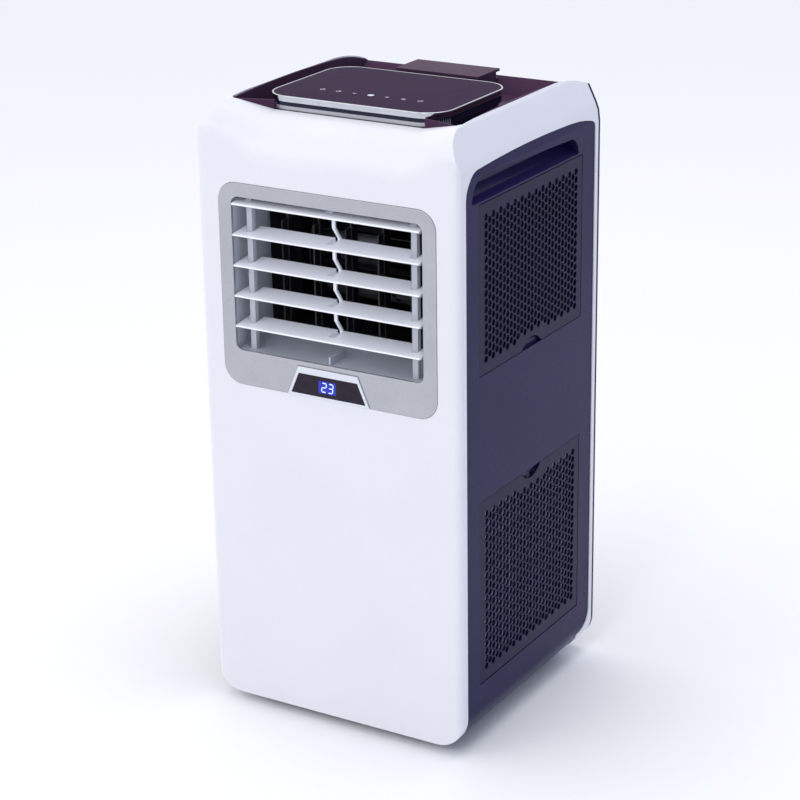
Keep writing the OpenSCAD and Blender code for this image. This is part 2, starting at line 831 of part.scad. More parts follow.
// Louvre blades: pivots, webs and crank pins
louvre_count = 5;
pivot_y = front_y + 14;
pivot_drop = 3;
crank_l = 16;
blade_tilt = 8;
blade_half = outlet_w / 2 - 2.5;
web_t = 2.3;
pivot_r = 1.6;
crank_r = 1.5;
link_t = 4;
link_bend = 11;
loose_gap = 0.4;
carrier_in = 13;
carrier_w = 7;
carrier_x = outlet_w / 2 - carrier_in - carrier_w;
web_x = carrier_x + carrier_w + 0.6;
function pivot_z(i) = outlet_top - 8.8 - pivot_drop - (i - 1) * louvre_pitch;
function blade_point(u, v) = [
    -14 - louvre_proud + u * cos(blade_tilt) - v * sin(blade_tilt),
    pivot_drop + u * sin(blade_tilt) + v * cos(blade_tilt)
];
module blade_section() {
    polygon([
        blade_point(0, 0.5), blade_point(1.2, 1.4), blade_point(8, 1.5), blade_point(louvre_chord - 1, 0.9),
        blade_point(louvre_chord, 0.3), blade_point(louvre_chord, -0.3), blade_point(louvre_chord - 1, -0.5),
        blade_point(3, -0.6), blade_point(0.6, -0.5), blade_point(0, 0)
    ]);
}
module louvre(i) {
    color([0.9, 0.92, 0.95])
        translate([0, pivot_y, pivot_z(i)])
            difference() {
                union() {
                    difference() {
                        along_x(-blade_half, blade_half)
                            blade_section();
                        block([-link_t, -6, -20], [link_t, louvre_chord, 20]);
                        for (s = [-1, 1])
                            translate([s * (carrier_x + carrier_w / 2), 0, 0])
                                block([-carrier_w / 2 - 0.6, -7, -20],
                                    [carrier_w / 2 + 0.6, louvre_chord, 20]);
                    }
                    for (s = [-1, 1])
                        translate([s * (web_x + web_t / 2), 0, 0]) {
                            along_x(-web_t / 2, web_t / 2)
                                polygon([
                                    blade_point(4, 0), [-3.2, -1.6], [0, -3.6], [3.2, -1.6], blade_point(30, 0)
                                ]);
                            bar_x(-web_t / 2, web_t / 2, 0, 0, 3.6);
                        }
                    for (s = [-1, 1])
                        translate([s * (carrier_x + carrier_w / 2 + 0.2), 0, 0])
                            bar_x(-carrier_w / 2 - 0.8, carrier_w / 2 + 0.8, 0, 0, pivot_r);
                    translate([-link_t - 3, 0, 0]) {
                        along_x(0, 2.5)
                            polygon([blade_point(12, 0), [crank_l - 2, -3], [crank_l + 2, -2], [crank_l + 2.5, 2],
                                blade_point(31, 0)]);
                        bar_x(0, link_t + 6, crank_l, 0, crank_r);
                    }
                }
                if (i == 3)
                    bar_x(-web_x - web_t - cut, -web_x - 0.3, 0, 0, motor_shaft_r + fit_gap);
            }
}
module louvre_1() {
    louvre(1);
}
module louvre_2() {
    louvre(2);
}
module louvre_3() {
    louvre(3);
}
module louvre_4() {
    louvre(4);
}
module louvre_5() {
    louvre(5);
}
// Side direction of the run from one point to the next, and the mitre at point i of a row
function side(a, b) = [a[1] - b[1], b[0] - a[0]] / norm(b - a);
function mitre(points, i) =
    let (before = side(points[max(i, 1) - 1], points[max(i, 1)]),
         j = min(i, len(points) - 2),
         after = side(points[j], points[j + 1]))
        (before + after) / (1 + before * after);

// Flat bar of width w that follows a row of points
module strip(points, w) {
    last = len(points) - 1;
    polygon([
        for (i = [0 : last]) points[i] + mitre(points, i) * w / 2,
        for (i = [last : -1 : 0]) points[i] - mitre(points, i) * w / 2,
    ]);
}
module louvre_link() {
    color([0.92, 0.93, 0.95])
        difference() {
            union() {
                for (i = [1 : louvre_count - 1])
                    along_x(-link_t / 2, link_t / 2)
                        translate([pivot_y + crank_l, pivot_z(i)])
                            strip([[0, 0], [-link_bend, -5], [-link_bend, -13], [0, -28], [0, -louvre_pitch]], 2.6);
                for (i = [1 : louvre_count])
                    bar_x(-link_t / 2, link_t / 2, pivot_y + crank_l, pivot_z(i), 3.4);
            }
            for (i = [1 : louvre_count])
                bar_x(-link_t, link_t, pivot_y + crank_l, pivot_z(i), crank_r + (i == 3 ? fit_gap : loose_gap));
        }
}
motor_shaft_r = 1.2;
module louvre_motor() {
    mx = -outlet_w / 2 - 7;
    color([0.7, 0.7, 0.72])
        union() {
            bar_x(mx - 15, mx, pivot_y + 2, pivot_z(3), 9.6);
            bar_x(mx, -web_x - 0.5, pivot_y, pivot_z(3), motor_shaft_r);
            block([mx - 2, pivot_y - 4, pivot_z(3) - 15], [mx, pivot_y + 8, pivot_z(3) + 15]);
        }
}

// Outlet duct behind the bezel, with the louvre carriers and the middle rib
vane_count = 5;
vane_pitch = 42;
vane_y = front_y + 54;
vane_chord = 24;
vane_pivot_r = 1.8;
vane_low = outlet_low + 22;
vane_top = duct_top - 5;
vane_crank = 10;
vane_crank_r = 1.4;
function vane_x(i) = (i - 3) * vane_pitch;
// Inside of the duct at one depth: its roof and its floor
function duct_roof(y) =
    duct_top + (outlet_top + blade_room - duct_top)
    * max(0, min(1, (duct_neck_y - y) / (duct_neck_y - blade_room_y)));
function duct_floor(y) =
    duct_low - (duct_low - outlet_low)
    * max(0, min(1, (duct_neck_y - y) / (duct_neck_y - blade_room_y)));
module duct_side(g) {
    y0 = bezel_back_y + fit_gap - (g > 0 ? 0 : cut);
    y1 = duct_back_y + (g > 0 ? 0 : cut);
    polygon(concat(
        [for (y = [y0, blade_room_y, duct_neck_y, y1]) [y, duct_floor(y) - g]],
        [for (y = [y1, duct_neck_y, blade_room_y, y0]) [y, duct_roof(y) + g]]
    ));
}
module duct_plan(g) {
    y0 = bezel_back_y + fit_gap - (g > 0 ? 0 : cut);
    y1 = duct_back_y + (g > 0 ? 0 : cut);
    w0 = outlet_w / 2 + g;
    w1 = duct_half_w + g;
    polygon([
        [-w0, y0], [w0, y0], [w0, blade_room_y], [w1, duct_neck_y], [w1, y1], [-w1, y1], [-w1, duct_neck_y],
        [-w0, blade_room_y]
    ]);
}
module outlet_duct() {
    color(inner_abs)
        difference() {
            union() {
                difference() {
                    intersection() {
                        along_x(-half_w, half_w)
                            duct_side(duct_wall);
                        along_z(duct_low - 40, outlet_top + 10)
                            duct_plan(duct_wall);
                    }
                    intersection() {
                        along_x(-half_w, half_w)
                            duct_side(0);
                        along_z(duct_low - 40, outlet_top + 10)
                            duct_plan(0);
                    }
                }
                intersection() {
                    for (s = [-1, 1])
                        translate([s * (carrier_x + carrier_w / 2), 0, 0])
                            block([-carrier_w / 2, pivot_y - 3.2, outlet_low - 10],
                                [carrier_w / 2, pivot_y + 3.2, outlet_top + 10]);
                    along_x(-half_w, half_w)
                        duct_side(duct_wall / 2);
                }
                block([-1, bezel_back_y + fit_gap, outlet_low - 1], [1, blade_room_y, outlet_low + 9]);
                block([-1, bezel_back_y + fit_gap, outlet_top - 1.5],
                    [1, pivot_y - 4.5, outlet_top + blade_room + 1]);
            }
            for (i = [1 : louvre_count])
                bar_x(-half_w, half_w, pivot_y, pivot_z(i), pivot_r + fit_gap);
            for (i = [1 : vane_count])
                bar_z(vane_x(i), vane_y, outlet_low - 20, outlet_top, vane_pivot_r + fit_gap);
            bar_x(-half_w, -carrier_x - carrier_w - 1, pivot_y, pivot_z(3), motor_shaft_r + 1.5);
        }
}
module vane(i) {
    color([0.16, 0.16, 0.20])
        translate([vane_x(i), vane_y, 0])
            union() {
                block([-1, -vane_chord / 2, vane_low], [1, vane_chord / 2, vane_top]);
                bar_z(0, 0, duct_floor(vane_y) - duct_wall + 0.2, duct_roof(vane_y) + duct_wall, vane_pivot_r);
                bar_z(0, vane_crank, vane_low - 7, vane_low + 1, vane_crank_r);
            }
}
module vane_1() {
    vane(1);
}
module vane_2() {
    vane(2);
}
module vane_3() {
    vane(3);
}
module vane_4() {
    vane(4);
}
module vane_5() {
    vane(5);
}
module vane_link() {
    color([0.16, 0.16, 0.20])
        difference() {
            union() {
                block([vane_x(1), vane_y + vane_crank - 1.5, vane_low - 5],
                    [vane_x(vane_count), vane_y + vane_crank + 1.5, vane_low - 1.5]);
                for (i = [1 : vane_count])
                    bar_z(vane_x(i), vane_y + vane_crank, vane_low - 5, vane_low - 1.5, 3.2);
            }
            for (i = [1 : vane_count])
                bar_z(vane_x(i), vane_y + vane_crank, vane_low - 8, vane_low,
                    vane_crank_r + (i == 3 ? fit_gap : loose_gap));
        }
}

// Heat exchangers: a finned block bent round three sides, with return bends
coil_in_x = half_w - 40;
coil_t = 22;
coil_front_y = front_y + 53;
coil_rear_y = rear_y - 31;
module coil(z0, z1) {
    union() {
        along_z(z0, z1)
            difference() {
                translate([-coil_in_x - coil_t, coil_front_y])
                    square([2 * (coil_in_x + coil_t), coil_rear_y - coil_front_y]);
                translate([-coil_in_x, coil_front_y - cut])
                    square([2 * coil_in_x, coil_rear_y - coil_front_y - coil_t + cut]);
            }
        for (s = [-1, 1], z = [z0 + 20 : 36 : z1 - 16])
            translate([s * (coil_in_x + coil_t / 2), coil_front_y, z])
                for (k = [-1, 1])
                    bar_y(0, -8, 0, k * 7, 3);
    }
}
evaporator_low = upper_cover_low + 7;
evaporator_top = tray_floor - caddy_depth - 4;
condenser_low = lower_cover_low + 2;
condenser_top = lower_cover_top - 2;
module evaporator_coil() {
    color([0.78, 0.80, 0.83])
        coil(evaporator_low, evaporator_top);
}
module condenser_coil() {
    color([0.78, 0.80, 0.83])
        coil(condenser_low, condenser_top);
}

// Drip tray under the evaporator
tray_z = evaporator_low - 14;
pipe_x = coil_in_x - 15;
suction_y = coil_rear_y - coil_t - 14;
liquid_y = front_y + 105;
suction_r = 5;
liquid_r = 3;
module water_tray() {
    edge_x = coil_in_x + coil_t;
    color([0.85, 0.85, 0.87])
        difference() {
            block([-edge_x - 2, coil_front_y - 3, tray_z], [edge_x + 2, coil_rear_y + 2, tray_z + 22]);
            block([-edge_x - 0.3, coil_front_y - 0.3, tray_z + 14], [edge_x + 0.3, coil_rear_y + 0.3, tray_z + 30]);
            block([-coil_in_x + 2, coil_front_y - 4, tray_z + 8], [coil_in_x - 2, duct_back_y + 2, tray_z + 30]);
            block([-coil_in_x + 4, coil_front_y + 6, tray_z + 3],
                [coil_in_x - 4, coil_rear_y - coil_t - 4, tray_z + 30]);
            for (s = [-1, 1])
                translate([s * (coil_in_x + coil_t / 2), 0, 0])
                    block([-coil_t / 2 + 4, coil_front_y + 6, tray_z + 3],
                        [coil_t / 2 - 4, coil_rear_y - 6, tray_z + 15]);
            bar_z(pipe_x, suction_y, tray_z - cut, tray_z + 5, suction_r + 2);
            bar_z(pipe_x, liquid_y, tray_z - cut, tray_z + 5, liquid_r + 2);
        }
}

// Compressor with its accumulator, on rubber mounts
comp_x = -40;
comp_y = 20;
comp_r = 56;
comp_low = foot_gap + 20;
comp_h = 185;
acc_x = comp_x + 92;
acc_y = comp_y + 35;
acc_r = 22;
pan_t = 3;
module compressor() {
    color([0.10, 0.10, 0.11])
        union() {
            translate([comp_x, comp_y, comp_low])
                rotate_extrude()
                    union() {
                        translate([0, 16])
                            square([comp_r, comp_h - 32]);
                        square([comp_r - 16, comp_h]);
                        intersection() {
                            union() {
                                translate([comp_r - 16, 16])
                                    circle(r = 16);
                                translate([comp_r - 16, comp_h - 16])
                                    circle(r = 16);
                            }
                            square([comp_r, comp_h]);
                        }
                    }
            for (a = [90 : 120 : 330])
                translate([comp_x, comp_y, comp_low])
                    rotate([0, 0, a])
                        block([comp_r - 30, -11, 0], [comp_r + 13, 11, 3]);
            translate([comp_x, comp_y, comp_low + comp_h - cut])
                cylinder(h = 6, r = 14);
            translate([acc_x, acc_y, comp_low + 40])
                cylinder(h = 130, r = acc_r);
            translate([(comp_x + acc_x) / 2, (comp_y + acc_y) / 2, comp_low + 100])
                rotate([0, 0, atan2(acc_y - comp_y, acc_x - comp_x)])
                    cube([40, 12, 10], center = true);
        }
}
module compressor_mounts() {
    color([0.08, 0.08, 0.08])
        for (a = [90 : 120 : 330])
            translate([comp_x + (comp_r + 5) * cos(a), comp_y + (comp_r + 5) * sin(a), foot_gap + pan_t])
                difference() {
                    union() {
                        cylinder(h = comp_low - foot_gap - pan_t, r = 9);
                        translate([0, 0, comp_low - foot_gap - pan_t + 3.05])
                            cylinder(h = 3, r = 7);
                    }
                    translate([0, 0, -cut])
                        cylinder(h = 40, r = 2.6);
                }
}

// Copper pipes
module pipe(points, r) {
    for (i = [0 : len(points) - 2]) {
        d = points[i + 1] - points[i];
        translate(points[i])
            rotate([0, acos(d[2] / norm(d)), atan2(d[1], d[0])])
                cylinder(h = norm(d), r = r);
    }
    for (i = [1 : len(points) - 2])
        translate(points[i])
            sphere(r = r);
}
module refrigerant_pipes() {
    acc_top = comp_low + 170;
    lift = 30;
    color([0.80, 0.45, 0.28])
        union() {
            pipe([[acc_x, acc_y, acc_top], [acc_x, acc_y, acc_top + lift], [acc_x, suction_y, acc_top + lift],
                [pipe_x, suction_y, acc_top + lift], [pipe_x, suction_y, evaporator_low + 30],
                [coil_in_x, suction_y, evaporator_low + 30]], suction_r);
            pipe([[comp_x, comp_y, comp_low + comp_h + 5], [comp_x, comp_y, comp_low + comp_h + lift],
                [-coil_in_x, comp_y, comp_low + comp_h + lift]], suction_r);
            pipe([[coil_in_x, liquid_y, condenser_low + 30], [pipe_x, liquid_y, condenser_low + 30],
                [pipe_x, liquid_y, evaporator_low + 20], [coil_in_x, liquid_y, evaporator_low + 20]], liquid_r);
        }
}

// Evaporator blower: a housing with two side inlets, a drum and a motor inside it
blower_y = front_y + 175;
blower_z = (outlet_top + outlet_low) / 2;
blower_r = 82;
blower_half = 100;
scroll_wall = 2;
drum_r = 66;
drum_blade = 8;
shaft_r = 4;
module scroll_side(g) {
    translate([blower_y, blower_z])
        circle(r = blower_r + g);
    polygon([
        [duct_back_y + 0.3 - (g > 0 ? 0 : cut), duct_low - g], [blower_y, duct_low - g],
        [blower_y, blower_z + blower_r + g],
        [duct_back_y + 60, duct_top + g], [duct_back_y + 0.3 - (g > 0 ? 0 : cut), duct_top + g]
    ]);
}
module scroll_plan(g) {
    y0 = duct_back_y + 0.3 - (g > 0 ? 0 : cut);
    polygon([
        [-duct_half_w - g, y0], [duct_half_w + g, y0], [blower_half + g, y0 + 36], [blower_half + g, rear_y],
        [-blower_half - g, rear_y], [-blower_half - g, y0 + 36]
    ]);
}
module evaporator_scroll() {
    z0 = blower_z - blower_r - 10;
    z1 = blower_z + blower_r + 10;
    color([0.88, 0.88, 0.9])
        difference() {
            intersection() {
                along_x(-half_w, half_w)
                    scroll_side(scroll_wall);
                along_z(z0, z1)
                    scroll_plan(scroll_wall);
            }
            intersection() {
                along_x(-half_w, half_w)
                    scroll_side(0);
                along_z(z0, z1)
                    scroll_plan(0);
            }
            bar_x(-half_w, half_w, blower_y, blower_z, drum_r - 8);
        }
}
// Blower drum about Z, from z = 0 up, with its hub disc at disc_z
module drum(r, h, disc_z, blades) {
    for (z = [0, h - 2])
        translate([0, 0, z])
            difference() {
                cylinder(h = 2, r = r + 1);
                translate([0, 0, -cut])
                    cylinder(h = 4, r = r - drum_blade);
            }
    for (i = [0 : blades - 1])
        rotate([0, 0, i * 360 / blades])
            translate([r - drum_blade + 0.5, 0, 0])
                rotate([0, 0, 35])
                    translate([0, -0.6, 1])
                        cube([drum_blade - 0.8, 1.2, h - 2]);
    difference() {
        union() {
            translate([0, 0, disc_z])
                cylinder(h = 2.5, r = r - 2);
            translate([0, 0, disc_z])
                cylinder(h = 14, r = 11);
        }
        translate([0, 0, disc_z - cut])
            cylinder(h = 40, r = shaft_r + fit_gap);
    }
}
module evaporator_wheel() {
    color([0.15, 0.15, 0.17])
        translate([-blower_half + 8, blower_y, blower_z])
            rotate([0, 90, 0])
                drum(drum_r, 2 * blower_half - 16, blower_half, 30);
}
module evaporator_motor() {
    x0 = -blower_half - scroll_wall - 0.3;
    color([0.55, 0.56, 0.6])
        union() {
            bar_x(-72, -14, blower_y, blower_z, 34);
            bar_x(x0 - 3, -70, blower_y, blower_z, 14);
            bar_x(-16, 18, blower_y, blower_z, shaft_r);
            for (a = [90 : 120 : 330])
                translate([x0 - 3, blower_y, blower_z])
                    rotate([a, 0, 0])
                        block([0, 0, -5], [3, drum_r + 3, 5]);
        }
}

// Condenser blower: inlet below, outlet to the exhaust collar
fan_y = 8;
fan_r = 100;
fan_low = exhaust_z - 67;
fan_top = exhaust_z + 67;
wheel_fan_r = 86;
module fan_plan(g) {
    translate([0, fan_y])
        circle(r = fan_r + g);
    translate([-exhaust_r - 3 - g, fan_y])
        square([2 * exhaust_r + 6 + 2 * g, rear_y - 12.6 - fan_y + (g > 0 ? 0 : cut)]);
}
module condenser_scroll() {
    color([0.88, 0.88, 0.9])
        difference() {
            along_z(fan_low, fan_top)
                fan_plan(scroll_wall);
            along_z(fan_low + scroll_wall, fan_top - scroll_wall)
                fan_plan(0);
            bar_z(0, fan_y, fan_low - cut, fan_low + 10, wheel_fan_r - 12);
        }
}
module condenser_wheel() {
    color([0.15, 0.15, 0.17])
        translate([0, fan_y, fan_low + 10])
            drum(wheel_fan_r, 88, 46, 32);
}
module condenser_motor() {
    color([0.55, 0.56, 0.6])
        union() {
            bar_z(0, fan_y, fan_low + 78, fan_top - scroll_wall, 38);
            bar_z(0, fan_y, fan_low + 50, fan_low + 80, shaft_r);
        }
}

module electrical_box() {
    low = [22, front_y + 13, condenser_top - 50];
    high = [116, front_y + 47, condenser_top + 40];
    color([0.75, 0.76, 0.78])
        difference() {
            block(low, high);
            block(low + [3, 3, 3], high - [3, 6, 3]);
            for (x = [low[0] + 20, high[0] - 20])
                bar_z(x, (low[1] + high[1]) / 2, low[2] - cut, low[2] + 6, 5);
        }
}

// Base pan with wells for the casters and stands for the condenser
caster_x = half_w - 70;
caster_y = half_d - 55;
well_r = 28;
well_h = 34;
stem_r = 4;
caster_trail = 8;
pan_half_w = half_w - lower_edge_r - seam;
pan_front_y = window_front_y + seam;
pan_rear_y = white_rear_y - seam;
function caster_place(i) = [(i % 2 == 0 ? 1 : -1) * caster_x, (i > 2 ? 1 : -1) * caster_y, 0];
module base_pan() {
    color([0.35, 0.35, 0.38])
        difference() {
            union() {
                block([-pan_half_w, pan_front_y, foot_gap], [pan_half_w, pan_rear_y, foot_gap + pan_t]);
                difference() {
                    block([-pan_half_w, pan_front_y, foot_gap], [pan_half_w, pan_rear_y, foot_gap + 26]);
                    block([-pan_half_w + 2.5, pan_front_y + 2.5, foot_gap - cut],
                        [pan_half_w - 2.5, pan_rear_y - 2.5, foot_gap + 40]);
                }
                for (i = [1 : 4])
                    translate(caster_place(i)) {
                        bar_z(0, 0, foot_gap, foot_gap + well_h, well_r + 2.5);
                        bar_z(0, 0, foot_gap, foot_gap + well_h + 14, stem_r + 4);
                    }
                for (sx = [-1, 1], y = [-60, 60])
                    translate([sx * (pan_half_w - 8), y, 0])
                        block([-8, -10, foot_gap], [8, 10, condenser_low]);
            }
            for (i = [1 : 4])
                translate(caster_place(i)) {
                    bar_z(0, 0, 0, foot_gap + well_h - 2.5, well_r);
                    bar_z(0, 0, 0, foot_gap + well_h + 12, stem_r + fit_gap);
                }
        }
}
fork_low = 2 * wheel_r + 2;
fork_top = foot_gap + well_h - 3.5;
module caster_fork(i) {
    color([0.20, 0.20, 0.22])
        translate(caster_place(i))
            union() {
                bar_z(0, 0, fork_low, fork_top, 13);
                bar_z(0, 0, fork_top - cut, foot_gap + well_h + 10, stem_r);
                block([-1.8, -5, wheel_r - 4], [1.8, caster_trail + 6, fork_low + cut]);
                bar_x(-11, 11, caster_trail, wheel_r, 2);
            }
}
module caster_wheels(i) {
    color([0.12, 0.12, 0.13])
        translate(caster_place(i))
            for (s = [-1, 1])
                difference() {
                    bar_x(s * 6.4 - 3.8, s * 6.4 + 3.8, caster_trail, wheel_r, wheel_r);
                    bar_x(-20, 20, caster_trail, wheel_r, 2 + fit_gap);
                    translate([s * 10.2, 0, 0])
                        difference() {
                            bar_x(-1, 1, caster_trail, wheel_r, wheel_r - 4);
                            bar_x(-2, 2, caster_trail, wheel_r, 4);
                        }
                }
}
module caster_fork_1() {
    caster_fork(1);
}
module caster_fork_2() {
    caster_fork(2);
}
module caster_fork_3() {
    caster_fork(3);
}
module caster_fork_4() {
    caster_fork(4);
}
module caster_wheels_1() {
    caster_wheels(1);
}
module caster_wheels_2() {
    caster_wheels(2);
}
module caster_wheels_3() {
    caster_wheels(3);
}
module caster_wheels_4() {
    caster_wheels(4);
}

base_pan();
front_housing();
rear_housing();
side_panel_left();
side_panel_right();
top_cover();
control_plinth();
control_rim();
control_glass();
control_board();
remote_caddy();
caddy_lid();
outlet_bezel();
outlet_duct();
display_frame();
display_window();
louvre_1();
louvre_2();
louvre_3();
louvre_4();
louvre_5();
louvre_link();
vane_1();
vane_2();
vane_3();
vane_4();
vane_5();
vane_link();
louvre_motor();
evaporator_coil();
condenser_coil();
water_tray();
compressor();
compressor_mounts();
refrigerant_pipes();
evaporator_scroll();
evaporator_wheel();
evaporator_motor();
condenser_scroll();
condenser_wheel();
condenser_motor();
electrical_box();
exhaust_collar();
drain_plug();
cord_inlet();
housing_screws();
upper_cover_left();
upper_cover_right();
lower_cover_left();
lower_cover_right();
upper_filters();
lower_filters();
caster_fork_1();
caster_fork_2();
caster_fork_3();
caster_fork_4();
caster_wheels_1();
caster_wheels_2();
caster_wheels_3();
caster_wheels_4();
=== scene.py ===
"""Looks of the portable air conditioner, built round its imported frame."""

import json
import logging
import math
from dataclasses import dataclass, field
from enum import Enum

import bpy
from mathutils import Matrix, Vector

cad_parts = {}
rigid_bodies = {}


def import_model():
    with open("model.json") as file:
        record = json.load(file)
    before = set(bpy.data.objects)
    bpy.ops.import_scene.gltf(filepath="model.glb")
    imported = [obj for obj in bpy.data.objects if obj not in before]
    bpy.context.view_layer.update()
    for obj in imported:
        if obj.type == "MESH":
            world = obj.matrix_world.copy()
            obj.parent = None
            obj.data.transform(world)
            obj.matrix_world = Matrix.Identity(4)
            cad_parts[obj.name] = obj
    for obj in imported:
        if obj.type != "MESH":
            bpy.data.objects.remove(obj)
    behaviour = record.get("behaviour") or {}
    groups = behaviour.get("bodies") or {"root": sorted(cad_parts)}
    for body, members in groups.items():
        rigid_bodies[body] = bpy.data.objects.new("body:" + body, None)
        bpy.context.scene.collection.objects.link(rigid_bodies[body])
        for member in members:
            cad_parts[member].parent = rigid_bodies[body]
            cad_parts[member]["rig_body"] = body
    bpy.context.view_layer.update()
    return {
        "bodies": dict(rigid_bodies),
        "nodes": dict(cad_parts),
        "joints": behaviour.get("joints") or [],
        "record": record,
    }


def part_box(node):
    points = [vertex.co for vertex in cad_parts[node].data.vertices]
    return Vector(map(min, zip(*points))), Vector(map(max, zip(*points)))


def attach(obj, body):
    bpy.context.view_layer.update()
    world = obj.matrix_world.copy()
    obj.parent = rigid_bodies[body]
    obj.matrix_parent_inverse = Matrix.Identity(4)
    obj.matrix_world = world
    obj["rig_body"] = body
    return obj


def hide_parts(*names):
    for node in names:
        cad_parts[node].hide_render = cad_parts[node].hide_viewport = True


log = logging.getLogger("air_conditioner")

MM = 0.001
# Edges that turn by more than this stay sharp when a piece is shaded smooth.
SMOOTH_ANGLE = math.radians(32)
# How strongly a large flat face rules the shading of its border.
FLAT_WEIGHT = 80
# Edges that turn by more than this many degrees are rounded.
EDGE_ANGLE = 40
# Points of a frame node's mesh closer than this many millimetres are one point.
MERGE_MM = 0.004
# Faces that lie in one plane to within this many degrees become one face.
PLANE_ANGLE = 0.4
Outline = list[tuple[float, float]]


# ---------------------------------------------------------------- mesh tools


def select_only(obj: bpy.types.Object) -> None:
    """Make one object the only selected and active one.

    Args:
        obj: the object that the next operators act on.
    """
    for other in bpy.context.selected_objects:
        other.select_set(False)
    obj.select_set(True)
    bpy.context.view_layer.objects.active = obj


class Editing:
    """Edit mode on one object, for the length of a with block."""

    def __init__(self, obj: bpy.types.Object) -> None:
        """Remember the object that is edited."""
        self.obj = obj

    def __enter__(self) -> bpy.types.Object:
        """Enter edit mode and return the object."""
        select_only(self.obj)
        bpy.ops.object.mode_set(mode="EDIT")
        return self.obj

    def __exit__(self, *stopped: object) -> None:
        """Leave edit mode."""
        bpy.ops.object.mode_set(mode="OBJECT")


def named(name: str) -> bpy.types.Object:
    """Name the primitive that was just added and put its place in its mesh.

    Args:
        name: name of the piece and of its mesh.

    Returns:
        The object, which now sits at the origin.
    """
    obj = bpy.context.active_object
    obj.name = name
    obj.data.name = name
    bpy.ops.object.transform_apply(location=True, rotation=True, scale=True)
    return obj


def block(name: str, low: tuple, high: tuple) -> bpy.types.Object:
    """Add a box between two corners.

    Args:
        name: name of the piece.
        low: lowest corner, in millimetres.
        high: highest corner, in millimetres.

    Returns:
        The new object, with its place in its mesh.
    """
    middle = [(a + b) / 2 * MM for a, b in zip(low, high)]
    size = [(b - a) * MM for a, b in zip(low, high)]
    bpy.ops.mesh.primitive_cube_add(size=1, location=middle, scale=size)
    return named(name)


def prism(name: str, outline: Outline, axis: int, start: float, end: float) -> bpy.types.Object:
    """Raise a flat outline along one axis.

    Args:
        name: name of the piece.
        outline: points in the two other axes, in order, in millimetres.
        axis: 0, 1 or 2 for X, Y or Z.
        start: where the outline lies along the axis, in millimetres.
        end: where the raised face lies, in millimetres.

    Returns:
        The new closed solid.
    """
    bpy.ops.mesh.primitive_circle_add(vertices=len(outline), radius=MM, fill_type="NGON")
    obj = named(name)
    across = [i for i in range(3) if i != axis]
    for vertex, point in zip(obj.data.vertices, outline):
        place = [0.0, 0.0, 0.0]
        place[axis] = start * MM
        place[across[0]], place[across[1]] = point[0] * MM, point[1] * MM
        vertex.co = place
    step = [0.0, 0.0, 0.0]
    step[axis] = (end - start) * MM
    with Editing(obj):
        bpy.ops.mesh.select_all(action="SELECT")
        bpy.ops.mesh.extrude_region_move(TRANSFORM_OT_translate={"value": step})
        bpy.ops.mesh.select_all(action="SELECT")
        bpy.ops.mesh.normals_make_consistent(inside=False)
    return obj


def ring(name: str, centre: tuple, radius: float, thick: float, sides: int = 40) -> bpy.types.Object:
    """Add a flat round ring about Z.

    Args:
        name: name of the piece.
        centre: its middle, in millimetres.
        radius: from the middle to the middle of the stroke, in millimetres.
        thick: width of the stroke, in millimetres.
        sides: steps round the ring.

    Returns:
        The new object, with its place in its mesh.
    """
    bpy.ops.mesh.primitive_torus_add(location=[c * MM for c in centre], major_radius=radius * MM,
                                     minor_radius=thick / 2 * MM, major_segments=sides, minor_segments=6)
    return named(name)


def apply(obj: bpy.types.Object, kind: str, **settings: object) -> bpy.types.Object:
    """Add a modifier with its settings and apply it.

    Args:
        obj: the piece.
        kind: Blender's name of the modifier type.
        settings: values of the modifier.

    Returns:
        The same object.
    """
    select_only(obj)
    modifier = obj.modifiers.new(kind.title(), kind)
    for key, value in settings.items():
        setattr(modifier, key, value)
    bpy.ops.object.modifier_apply(modifier=modifier.name)
    return obj


def round_edges(obj: bpy.types.Object, width: float, segments: int = 2) -> bpy.types.Object:
    """Round every sharp edge.

    Args:
        obj: the piece.
        width: size of the rounding, in millimetres.
        segments: steps of the rounding.

    Returns:
        The same object.
    """
    return apply(obj, "BEVEL", width=width * MM, segments=segments, limit_method="ANGLE",
                 angle_limit=math.radians(EDGE_ANGLE), use_clamp_overlap=True)


def smooth(obj: bpy.types.Object) -> bpy.types.Object:
    """Shade a piece smooth, with its sharp edges kept and its large faces flat.

    Args:
        obj: the piece.

    Returns:
        The same object.
    """
    select_only(obj)
    bpy.ops.object.shade_smooth_by_angle(angle=SMOOTH_ANGLE)
    return apply(obj, "WEIGHTED_NORMAL", keep_sharp=True, weight=FLAT_WEIGHT)


def join(parts: list[bpy.types.Object]) -> bpy.types.Object:
    """Join pieces into the first one.

    Args:
        parts: the pieces, which share one finish.

    Returns:
        The first piece, which now holds them all.
    """
    select_only(parts[0])
    for part in parts:
        part.select_set(True)
    bpy.ops.object.join()
    return parts[0]


# ------------------------------------------------------------------ finishes


def linear(code: str) -> tuple[float, float, float, float]:
    """Turn an sRGB hex value such as 'F0F0F0' into linear RGBA.

    Args:
        code: the six digits.

    Returns:
        Red, green, blue and an alpha of one.
    """
    def channel(value: float) -> float:
        """Undo the sRGB curve for one channel."""
        return value / 12.92 if value <= 0.04045 else ((value + 0.055) / 1.055) ** 2.4
    return tuple(channel(int(code[i:i + 2], 16) / 255) for i in (0, 2, 4)) + (1.0,)


